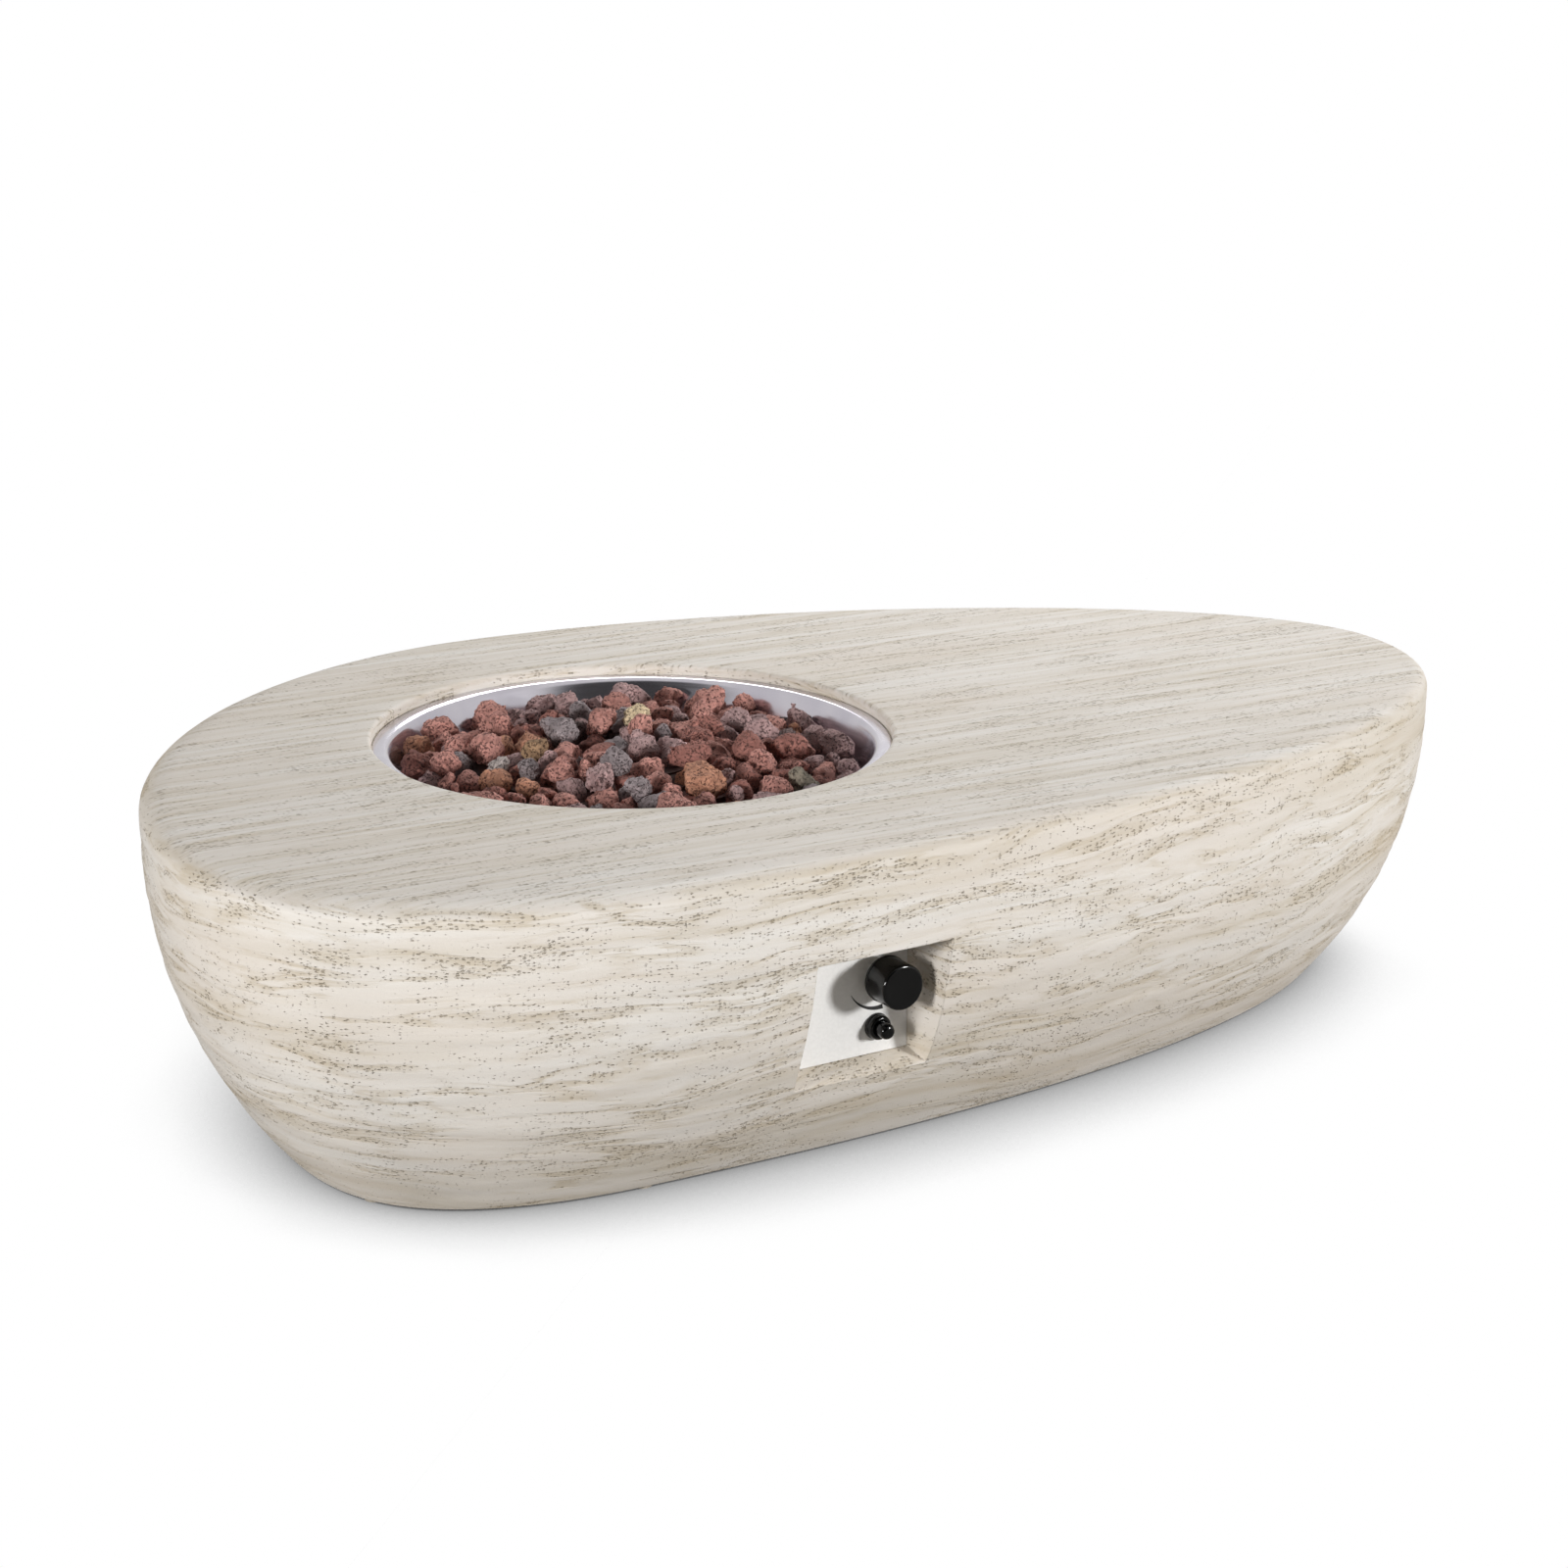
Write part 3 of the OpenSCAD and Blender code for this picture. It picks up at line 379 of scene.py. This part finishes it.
def mottled(name, size, dark, light, rough_low, rough_high, depth, **sockets):
    """A finish whose colour, gloss and relief vary with one noise, in spots of a size in mm."""
    finish, tree, shader = finish_named(name, **sockets)
    place = put(tree, "ShaderNodeTexCoord").outputs["Object"]
    cloud = spots(tree, place, 1000 / size, 4)
    colour = put(tree, "ShaderNodeValToRGB", {"Fac": cloud}, stops=((0.35, dark), (0.65, light))).outputs[0]
    wire(tree, shader, Base_Color=colour, Roughness=ranged(tree, cloud, 0, 1, rough_low, rough_high),
         Normal=relief(tree, cloud, 0.3, depth))
    return finish


pad_rubber = mottled("moulded_rubber", 2.5, "#978e80", "#aba293", 0.65, 0.85, 0.1)
coat(pad_rubber, "foot_pads")

# Fire bowl: a spun pan of stainless sheet whose flat flange lies on the ledge of the stone.
# The bends are rolled to a few millimetres and the cut edge is dressed, which shows as a bright line.
PAN_FLOOR, PAN_T, RIM_R, FLANGE_R, FLOOR_R, NIPPLE_R = 217.5, 1.5, 238, 252.5, 200, 10.6
RIM_BEND, FLOOR_BEND, SEAT_GAP = 5, 8, 0.02
PAN_RIM = LEDGE_Z + PAN_T


def eased(a, corner, b, count=6):
    """Points of a rounded corner between two places on its legs."""
    a, corner, b = (np.array(p, float) for p in (a, corner, b))
    return [tuple((1 - t) ** 2 * a + 2 * t * (1 - t) * corner + t * t * b) for t in np.linspace(0, 1, count)]


def turned(name, profile, matrix, steps=128, degrees=28):
    """A profile of (radius, height) in mm spun about Z, then placed by a matrix in metres."""
    bpy.ops.object.select_all(action="DESELECT")
    bpy.ops.mesh.primitive_plane_add(size=MM)
    piece = bpy.context.object
    piece.name = piece.data.name = name
    bpy.ops.object.mode_set(mode="EDIT")
    bpy.ops.mesh.select_all(action="SELECT")
    bpy.ops.mesh.merge(type="CENTER")
    places = [Vector((r, 0, z)) * MM for r, z in profile]
    bpy.ops.transform.translate(value=places[0])
    for a, b in zip(places, places[1:]):
        bpy.ops.mesh.extrude_vertices_move(TRANSFORM_OT_translate={"value": b - a})
    bpy.ops.mesh.select_all(action="SELECT")
    bpy.ops.mesh.spin(steps=steps, angle=2 * math.pi, center=(0, 0, 0), axis=(0, 0, 1))
    bpy.ops.mesh.select_all(action="SELECT")
    bpy.ops.mesh.remove_doubles(threshold=2e-6)
    bpy.ops.mesh.normals_make_consistent(inside=False)
    bpy.ops.object.mode_set(mode="OBJECT")
    piece.data.transform(matrix)
    smooth(piece, degrees)
    return piece


lean = (RIM_R - FLOOR_R) / (PAN_RIM - PAN_FLOOR)
under_rim, under_floor = LEDGE_Z + SEAT_GAP, PAN_FLOOR - PAN_T
pan_profile = [(FLANGE_R - 0.4, under_rim)]
pan_profile += eased((FLANGE_R, LEDGE_Z + 0.3), (FLANGE_R, PAN_RIM), (FLANGE_R - 0.7, PAN_RIM), 5)
pan_profile += eased((RIM_R + 4, PAN_RIM), (RIM_R, PAN_RIM), (RIM_R - RIM_BEND * lean, PAN_RIM - RIM_BEND), 8)
pan_profile += [(RIM_R - d * lean, PAN_RIM - d) for d in (12, 24, 36, 48, 60, 70)]
pan_profile += eased((FLOOR_R + FLOOR_BEND * lean, PAN_FLOOR + FLOOR_BEND), (FLOOR_R, PAN_FLOOR),
                     (FLOOR_R - FLOOR_BEND, PAN_FLOOR), 6)
pan_profile += [(140, PAN_FLOOR), (80, PAN_FLOOR), (NIPPLE_R, PAN_FLOOR)]
pan_profile += [(NIPPLE_R, under_floor), (80, under_floor)]
pan_profile += eased((FLOOR_R - FLOOR_BEND, under_floor), (FLOOR_R + 0.8, under_floor),
                     (FLOOR_R + 1.7 + FLOOR_BEND * lean, PAN_FLOOR + FLOOR_BEND), 6)
pan_profile += eased((RIM_R + 1.7 - RIM_BEND * lean, PAN_RIM - RIM_BEND), (RIM_R + 1.7, under_rim),
                     (RIM_R + 5, under_rim), 6)
pan_profile += [pan_profile[0]]
AT_BOWL = Matrix.Translation(BOWL * MM)
fire_pan = turned("fire_pan", pan_profile, AT_BOWL, 192, 30)

# Stainless sheet, spun and polished: soft mirror with faint turning lines round the axis.
stainless, tree, shader = finish_named("polished_stainless", Metallic=1.0)
place = put(tree, "ShaderNodeTexCoord").outputs["Object"]
centred = put(tree, "ShaderNodeMapping", {"Vector": place, "Location": tuple(-BOWL * MM)}).outputs[0]
across = put(tree, "ShaderNodeVectorMath", {0: centred, 1: (1, 1, 0)}, operation="MULTIPLY")
radius = put(tree, "ShaderNodeVectorMath", {0: across.outputs[0]}, operation="LENGTH").outputs["Value"]
depth = put(tree, "ShaderNodeSeparateXYZ", {0: centred}).outputs["Z"]
rows = put(tree, "ShaderNodeCombineXYZ", {"X": radius, "Y": depth}).outputs[0]
# turning lines 1.5 mm apart, coarser than the real ones so that they show
lines = spots(tree, rows, 1000 / 1.5, 2)
cloud = spots(tree, place, 1000 / 60, 3)
tint = put(tree, "ShaderNodeValToRGB", {"Fac": cloud}, stops=((0.3, "#c3bfc8"), (0.7, "#d2ced4"))).outputs[0]
wire(tree, shader, Base_Color=tint, Roughness=ranged(tree, lines, 0, 1, 0.12, 0.24),
     Normal=relief(tree, lines, 0.05, 0.05))
fit(fire_pan, "table", "stainless", stainless, "burner_pan")

# Burner: a ring of stainless tube on two spokes, with its guard, spark rod and screws.
# Bent and welded tube and folded sheet, brown-blue from the flame, under the stones.
heat_steel = mottled("flame_tinted_steel", 18, "#8d8378", "#b9b5b2", 0.28, 0.45, 0.05, Metallic=1.0)
coat(heat_steel, "burner_ring", "spark_guard", "spark_rod")

# Fasteners: the nipple, nuts, screws, valve stem and plunger.
# Turned steel with a bright zinc plating that has a faint bloom.
zinc = mottled("zinc_plated_steel", 6, "#a3a5a6", "#c6c8c9", 0.25, 0.42, 0.03, Metallic=1.0)
coat(zinc, "burner_nipple", "nipple_nut", "guard_screws", "panel_screws", "valve_nut", "valve_plunger", "valve_stem")

# Gas fittings: the air mixer, jet elbow, valve body and its two unions.
# Brass, forged and machined, slightly dulled.
brass = mottled("machined_brass", 9, "#a98443", "#d0ab62", 0.22, 0.4, 0.04, Metallic=1.0)
coat(brass, "air_mixer", "jet_elbow", "valve_body", "outlet_fitting", "inlet_fitting")

# Gas tube: bendable steel tube that carries the gas from the valve to the jet.
# Thin drawn stainless, bare, bent by hand on site and held by a union at each end.
tube_metal = mottled("drawn_stainless_tube", 12, "#b3b4b5", "#cfd0d1", 0.3, 0.45, 0.05, Metallic=1.0)
coat(tube_metal, "gas_tube")

# Spark insulator: the rod that keeps the spark off the pan, clamped in the pan's floor by its collar.
# Pressed and fired alumina with an off-white glaze.
glazed = mottled("glazed_alumina", 5, "#e3ddd0", "#f0ece3", 0.12, 0.22, 0.02)
coat(glazed, "spark_ceramic")

# Spark lead: the high-tension lead from the igniter to the spark rod, pushed on at both ends.
# Extruded silicone sheath over fine wire, dull red.
silicone = mottled("silicone_sheath", 3, "#84241d", "#9c3329", 0.45, 0.6, 0.03)
coat(silicone, "spark_lead")

# Thermocouple and its lead: the probe beside the flame and the line that holds the valve open.
# Drawn copper capillary with a sheathed tip, browned by handling, screwed into the valve.
copper = mottled("browned_copper", 7, "#8f5632", "#c07a4c", 0.25, 0.42, 0.03, Metallic=1.0)
coat(copper, "thermocouple", "thermocouple_lead")

# Lava stones: some 170 loose lumps of scoria, 20 to 68 mm, heaped on the burner.
# Crushed volcanic rock, so each has broken faces and is full of gas holes; they lie as tipped in.
dice = np.random.default_rng(23)
RUBBLE_R = 236
LUMPS, FILLERS, BREAKS = 14, 6, 11
FINE_VOXEL, COARSE_VOXEL = 0.043, 0.1


def lump(number, voxel):
    """A ball of 1 m cut by planes, remeshed and roughened, as a rock of about unit width."""
    bpy.ops.object.select_all(action="DESELECT")
    bpy.ops.mesh.primitive_ico_sphere_add(subdivisions=2, radius=0.5)
    rock = bpy.context.object
    rock.data.transform(Matrix.Diagonal((1, dice.uniform(0.66, 0.9), dice.uniform(0.58, 0.8), 1)))
    bpy.ops.object.mode_set(mode="EDIT")
    for _ in range(BREAKS):
        way = Vector(dice.normal(size=3)).normalized()
        bpy.ops.mesh.select_all(action="SELECT")
        bpy.ops.mesh.bisect(plane_co=way * dice.uniform(0.2, 0.36), plane_no=way, use_fill=True, clear_outer=True)
    bpy.ops.object.mode_set(mode="OBJECT")
    finish_with(rock, "REMESH", mode="VOXEL", voxel_size=voxel)
    finish_with(rock, "SMOOTH", factor=0.5, iterations=1)
    shift = Vector((number * 7.3, number * 3.1, number * 5.7))
    rock.data.update()
    for v in rock.data.vertices:
        p = v.co + shift
        rise = 0.07 * noise.fractal(p * 2.6, 0.9, 2.1, 3) + 0.034 * noise.fractal(p * 9, 0.5, 2.3, 3)
        worn = min(1.0, max(0.0, 0.5 + 2 * noise.noise(p * 3.7)))
        v.co += v.normal * (rise - 0.05 * worn * max(0.0, 1 - noise.voronoi(p * 11)[0][0] / 0.33))
    return rock


def shape_of(rock):
    """A rock's corners and faces, after which the rock is gone."""
    corners = np.array([v.co for v in rock.data.vertices])
    faces = [tuple(p.vertices) for p in rock.data.polygons]
    bpy.data.objects.remove(rock)
    return corners / np.ptp(corners[:, 0]), faces


fine = [shape_of(lump(k, FINE_VOXEL)) for k in range(LUMPS)]
coarse = [shape_of(lump(k + 40, COARSE_VOXEL)) for k in range(FILLERS)]

# heights of what lies in the bowl so far, on a grid of 2.5 mm; it starts as the bed of stones below,
# the pan's wall round it and, past the wall, a height that no stone gets over
CELL, HALF = 2.5, 100
BED_EDGE, BED_RISE, BARRED = 267.5, 16, 400
grid = (np.arange(2 * HALF) - HALF + 0.5) * CELL
far = np.hypot(*np.meshgrid(grid, grid, indexing="ij"))
pile = np.where(far < RUBBLE_R - 12, BED_EDGE + BED_RISE * (1 - (far / RUBBLE_R) ** 2),
                PAN_RIM - (RIM_R - far) / lean)
pile[far > RIM_R - 2] = BARRED
# the heap's outline, and how far a stone may stand out of it
HEAP_EDGE, HEAP_RISE, HEAP_R, PROUD_MAX = 302, 21, 228, 5


def spun(corners, size):
    """The corners at a size in mm, turned at random."""
    a, b, c = dice.uniform(0, 2 * math.pi, 3)
    turn = Matrix.Rotation(a, 3, "Z") @ Matrix.Rotation(b, 3, "X") @ Matrix.Rotation(c, 3, "Z")
    return corners @ np.array(turn).T * size


def settle(corners, tries, top, slack):
    """The best of some places for a stone to lie, lowest under the heap's outline; None if it stands proud."""
    best = None
    reach = np.abs(corners[:, :2]).max() * 0.8
    for _ in range(tries):
        r, a = (RUBBLE_R - reach) * math.sqrt(dice.uniform()), dice.uniform(0, 2 * math.pi)
        x, y = r * math.cos(a), r * math.sin(a)
        i = np.clip(((corners[:, 0] + x) / CELL + HALF).astype(int), 0, 2 * HALF - 1)
        j = np.clip(((corners[:, 1] + y) / CELL + HALF).astype(int), 0, 2 * HALF - 1)
        z = (pile[i, j] - corners[:, 2]).max() - slack
        proud = z + corners[:, 2].max() - top(r)
        if best is None or proud < best[0]:
            best = (proud, x, y, z, i, j)
    proud, x, y, z, i, j = best
    if proud > PROUD_MAX:
        return None
    np.maximum.at(pile, (i, j), corners[:, 2] + z)
    return corners + (x, y, z)


def heap_top(r):
    """The heap's height at a distance from the middle."""
    return HEAP_EDGE + HEAP_RISE * (1 - (r / HEAP_R) ** 2)


# tints of the scoria, and how common they are: red, dark red, mauve, grey, orange-brown and dark stones
TINTS = ("#c28c81", "#9c6a60", "#b69694", "#968a8b", "#bf8a70", "#715f5c")
COMMON = (0.34, 0.26, 0.2, 0.09, 0.05, 0.06)


def tip_in(count, kinds, size_of, tries, below, slack):
    """Tips in stones one by one, to lie this far below the heap's top, and returns those that find room."""
    stones = []
    for n in range(count):
        corners, faces = kinds[dice.integers(len(kinds))]
        lain = settle(spun(corners, size_of(n)), tries, lambda r: heap_top(r) - below, slack)
        if lain is not None:
            stones.append((lain, faces, TINTS[dice.choice(len(TINTS), p=COMMON)]))
    return stones


filler = tip_in(110, coarse, lambda n: dice.uniform(26, 40), tries=14, below=12, slack=6)
sizes = np.concatenate((dice.uniform(54, 68, 14), dice.uniform(40, 54, 56), dice.uniform(24, 40, 70)))
shown = tip_in(len(sizes), fine, lambda n: sizes[n], tries=70, below=0, slack=1.5)
chip_sizes = dice.uniform(20, 34, 130)
chips = tip_in(len(chip_sizes), fine, lambda n: chip_sizes[n], tries=120, below=15, slack=3)
# a few odd stones: pale ochre, olive, two whitish ones and a second olive
for x, y, tint in ((63, 37, "#dcc7a4"), (-78, -11, "#9d7f62"), (-125, 15, "#c4b8b3"),
                   (-145, -108, "#cdb8af"), (88, -147, "#938a7a")):
    k = min(range(len(shown)), key=lambda n: math.hypot(*(shown[n][0].mean(0) - (x, y, 0))[:2])
            - 0.6 * shown[n][0][:, 2].max())
    shown[k] = (shown[k][0], shown[k][1], tint)


def rubble(name, stones):
    """Stones as one mesh, with each stone's tint on its corners."""
    corners, faces, tints, start = [], [], [], 0
    for place, sides, tint in stones:
        corners.append((place + np.array(BOWL)) * MM)
        faces += [tuple(i + start for i in side) for side in sides]
        tints.append(np.tile(srgb(tint), (len(place), 1)))
        start += len(place)
    mesh = bpy.data.meshes.new(name)
    mesh.from_pydata(np.concatenate(corners).tolist(), [], faces)
    layer = mesh.attributes.new("tint", "FLOAT_COLOR", "POINT")
    layer.data.foreach_set("color", np.concatenate(tints).astype(np.float32).ravel())
    piece = bpy.data.objects.new(name, mesh)
    bpy.context.scene.collection.objects.link(piece)
    smooth(piece, 40)
    return piece


# Scoria: dull, red to grey, with painted shade in its gas holes, which are 1 to 4 mm wide.
scoria, tree, shader = finish_named("scoria", Roughness=0.92, IOR=1.45)
place = put(tree, "ShaderNodeTexCoord").outputs["Object"]
tint = put(tree, "ShaderNodeAttribute", attribute_name="tint").outputs["Color"]
cloud = spots(tree, place, 1000 / 15, 6, 0.65)
shade = ranged(tree, cloud, 0.3, 0.7, 0.55, 1.5)
stained = put(tree, "ShaderNodeVectorMath", {0: tint, 1: shade}, operation="MULTIPLY").outputs[0]
mouths = spots(tree, place, 1000 / 2.6, 2, 0.6, 0.5)
patchy = calc(tree, "ADD", mouths, ranged(tree, cloud, 0.3, 0.6, -0.08, 0.05))
gas_holes = ranged(tree, patchy, 0.54, 0.64)
# painted shade: the gas holes are darkened towards a near-black brown
tone_and_hole_shade = blend(tree, calc(tree, "MULTIPLY", gas_holes, 0.74), stained, srgb("#2b1c1a"))
grit = spots(tree, place, 1000 / 1.6, 2)
wire(tree, shader, Base_Color=tone_and_hole_shade,
     Normal=relief(tree, calc(tree, "SUBTRACT", grit, gas_holes), 0.9, 1.6))
half = len(shown) // 2
fit(rubble("lava_stones_first", shown[:half]), "table", "lava", scoria, "lava_stones")
half_chips = len(chips) // 2
for name, stones in (("lava_stones_last", shown[half:]), ("lava_stones_below", filler),
                     ("lava_chips_first", chips[:half_chips]), ("lava_chips_last", chips[half_chips:])):
    fit(rubble(name, stones), "table", "lava", scoria)

# Bed of stones: the lower layers of lava that bury the burner.
# The same tipped scoria, coloured very dark as painted shade, seen only in the gaps between the stones on top.
bed_in_painted_shade = mottled("scoria_in_painted_shade", 16, "#2a1a17", "#5a3a33", 0.9, 1.0, 3)
coat(bed_in_painted_shade, "lava_bed")

# Control panel: a folded steel plate behind the recess, screwed to the stone from inside.
# Powder-coated white, satin, with the faint orange-peel that such a coat has.
panel_white = mottled("white_powder_coat", 3, "#f2f1ef", "#f8f7f5", 0.38, 0.5, 0.03)
coat(panel_white, "control_panel")

# Knob mark: an arc on the panel round the knob that thickens from low flame to high.
# Matt black ink, screen-printed on the powder coat.
KNOB_U, KNOB_Z, IGNITER_Z = 30, 177, 127
ARC_FROM, ARC_SWEEP, ARC_R, INK_T = -150, 72, 31.5, 0.12
bpy.ops.object.select_all(action="DESELECT")
bpy.ops.mesh.primitive_grid_add(x_subdivisions=48, y_subdivisions=2, size=2)
knob_mark = bpy.context.object
knob_mark.name = knob_mark.data.name = "knob_mark"
for v in knob_mark.data.vertices:
    share, side = (v.co.x + 1) / 2, v.co.y
    a = math.radians(ARC_FROM + ARC_SWEEP * share)
    r = ARC_R + 1.5 * share + side * (0.2 + 2.1 * share)
    v.co = Vector((KNOB_U + r * math.cos(a), -0.02, KNOB_Z + r * math.sin(a))) * MM
finish_with(knob_mark, "SOLIDIFY", thickness=INK_T * MM, offset=0)
knob_mark.data.transform(PANEL)
ink = mottled("black_screen_ink", 1.5, "#0b0b0b", "#161616", 0.5, 0.65, 0.01)
fit(knob_mark, "table", "panel_paint", ink)

# Gas knob: a moulded cup that slides on the valve's stem, with a lip at its rear edge.
# Glossy black ABS; its face is very slightly dished.
AT_KNOB = PANEL @ Matrix.Translation((KNOB_U * MM, 0, KNOB_Z * MM)) @ Matrix.Rotation(math.pi / 2, 4, "X")
knob_profile = [(0, 36), (4.1, 36), (4.1, 14), (7.5, 14), (7.5, 37), (19, 37), (19, 14)]
knob_profile += eased((21.4, 14), (22.2, 14), (22.2, 14.8), 4)
knob_profile += eased((22.2, 16), (22.2, 17), (21.6, 17.2), 4)
knob_profile += [(21.5, 18), (21.5, 26), (21.5, 34)]
knob_profile += eased((21.5, 40.5), (21.5, 44), (18.4, 44), 9)
knob_profile += [(17.5, 43.95), (14, 43.8), (9, 43.65), (4, 43.6), (0, 43.6)]
gas_knob = turned("gas_knob", knob_profile, AT_KNOB, 128, 40)
gloss_black = mottled("glossy_black_abs", 20, "#030303", "#070707", 0.08, 0.14, 0.02, IOR=1.42)
fit(gas_knob, "knob", "black_gloss", gloss_black, "control_knob")

# Push igniter: a barrel with a bezel through the panel, a domed screw cap and a push button.
# Moulded black plastic, the button polished; its nut and battery sit behind the panel.
AT_IGNITER = PANEL @ Matrix.Translation((KNOB_U * MM, 0, IGNITER_Z * MM)) @ Matrix.Rotation(math.pi / 2, 4, "X")
barrel_profile = [(0, -72), (2, -72), (2, -66)] + eased((9.5, -66), (11, -66), (11, -64.5), 4)
barrel_profile += [(11, -30), (11, 0), (12, 0)] + eased((12.5, 0.4), (12.5, 3.5), (10.4, 3.5), 6)
barrel_profile += [(9, 3.5), (9, -8), (7.6, -8), (7.6, -58.8), (0, -58.8)]
igniter_barrel = turned("igniter_barrel", barrel_profile, AT_IGNITER, 96, 40)
cap_profile = [(7.56, 3.6), (11.2, 3.6)] + eased((11.9, 3.8), (11.9, 8.4), (9.4, 9), 9)
cap_profile += eased((8.4, 9.0), (7.56, 9.0), (7.56, 8.2), 4) + [(7.56, 3.6)]
igniter_dome = turned("igniter_dome", cap_profile, AT_IGNITER, 96, 50)
button_profile = [(0, -1), (8.7, -1), (8.7, 3.1), (7.5, 3.2), (7.5, 10)]
button_profile += eased((7.5, 16.5), (7.4, 21.7), (3.2, 22), 10) + [(1.5, 22), (0, 22)]
push_button = turned("push_button", button_profile, AT_IGNITER, 96, 50)
moulded_black = mottled("moulded_black_nylon", 1.2, "#121213", "#1b1b1c", 0.2, 0.32, 0.03, IOR=1.52)
fit(igniter_barrel, "table", "black_plastic", moulded_black, "igniter_housing")
fit(igniter_dome, "table", "black_plastic", gloss_black, "igniter_cap")
fit(push_button, "button", "black_gloss", gloss_black, "igniter_button")
coat(moulded_black, "igniter_nut")

# Igniter battery: a small round cell inside the igniter's barrel, held by the cap.
# Drawn steel can in a plain shrunk-on plastic sleeve.
sleeve = mottled("battery_sleeve", 10, "#565f36", "#6f7a48", 0.3, 0.4, 0.02)
coat(sleeve, "igniter_battery")

# Studio: a wide pale floor under soft light, with white behind everything.
# The floor is white to the eye but for a soft painted shadow close under the body, drawn by ambient occlusion,
# and dull to the light that it throws back.
scene = bpy.context.scene
scene.view_settings.view_transform = "Standard"
bpy.ops.object.select_all(action="DESELECT")
bpy.ops.mesh.primitive_plane_add(size=90)
floor = bpy.context.object
floor.name = "floor"
floor_white = bpy.data.materials.new("studio_floor")
floor_white.use_nodes = True
tree = floor_white.node_tree
tree.nodes.clear()
rays = put(tree, "ShaderNodeLightPath")
seen = calc(tree, "MAXIMUM", rays.outputs["Is Camera Ray"], rays.outputs["Is Transmission Ray"])
seen = calc(tree, "MULTIPLY_ADD", rays.outputs["Is Glossy Ray"], 0.1, seen, clamp=True)
# painted shadow: the floor's white glow is dimmed where ambient occlusion finds the body close by, not by the lamps
open_sky_for_painted_shadow = put(tree, "ShaderNodeAmbientOcclusion", {"Distance": 0.3}, samples=16).outputs["AO"]
shade = calc(tree, "MULTIPLY_ADD", open_sky_for_painted_shadow, 1.8, -0.03, clamp=True)
white = put(tree, "ShaderNodeEmission", {"Color": (1, 1, 1, 1), "Strength": shade})
dull = put(tree, "ShaderNodeBsdfDiffuse", {"Color": srgb("#8b8986")})
both = put(tree, "ShaderNodeMixShader", {0: seen, 1: dull.outputs[0], 2: white.outputs[0]})
put(tree, "ShaderNodeOutputMaterial", {"Surface": both.outputs[0]})
floor.data.materials.append(floor_white)

world = bpy.data.worlds.new("studio")
scene.world = world
world.use_nodes = True
tree = world.node_tree
tree.nodes.clear()
rays = put(tree, "ShaderNodeLightPath")
# white to the camera, a soft fill for matt surfaces, and in reflections white walls with a dark gap in front
ahead = put(tree, "ShaderNodeVectorMath", {0: put(tree, "ShaderNodeTexCoord").outputs["Generated"],
                                           1: (-0.485, -0.875, 0)}, operation="DOT_PRODUCT")
room = ranged(tree, ahead.outputs["Value"], 0.5, 0.72, 0.8, 0.06, "SMOOTHSTEP")
fill = put(tree, "ShaderNodeMix", {0: rays.outputs["Is Glossy Ray"], 2: 0.15, 3: room}).outputs[0]
power = calc(tree, "MAXIMUM", fill, rays.outputs["Is Camera Ray"])
sky = put(tree, "ShaderNodeBackground", {"Color": (1, 1, 1, 1), "Strength": power})
put(tree, "ShaderNodeOutputWorld", {"Surface": sky.outputs[0]})


def softbox(name, place, aim, wide, tall, watts):
    """A rectangular area lamp that looks at a place."""
    lamp = bpy.data.lights.new(name, "AREA")
    lamp.shape, lamp.size, lamp.size_y, lamp.energy = "RECTANGLE", wide, tall, watts
    box = bpy.data.objects.new(name, lamp)
    scene.collection.objects.link(box)
    box.location = place
    box.rotation_euler = (Vector(aim) - Vector(place)).to_track_quat("-Z", "Y").to_euler()


softbox("left_softbox", (-3.3, -1.5, 0.95), (-0.2, 0, 0.15), 0.6, 0.6, 85)
softbox("right_softbox", (2.0, -3.15, 0.95), (0.3, 0, 0.15), 0.5, 0.5, 101)
softbox("back_softbox", (1.6, 1.8, 2.4), (0.4, 0, 0.3), 2.2, 1.6, 67)

# Camera: a long lens at the photograph's place, left of the controls and above the top.
# The small shift stands for the picture's crop.
camera = bpy.data.objects.new("camera", bpy.data.cameras.new("camera"))
scene.collection.objects.link(camera)
camera.data.lens, camera.data.sensor_width = 76.06, 36
camera.data.shift_x, camera.data.shift_y = 0.0147, 0.0567
camera.location = (-1.5495, -2.7749, 1.2013)
camera.rotation_euler = (Vector((-0.05, -0.01, 0.158)) - camera.location).to_track_quat("-Z", "Y").to_euler()
scene.camera = camera
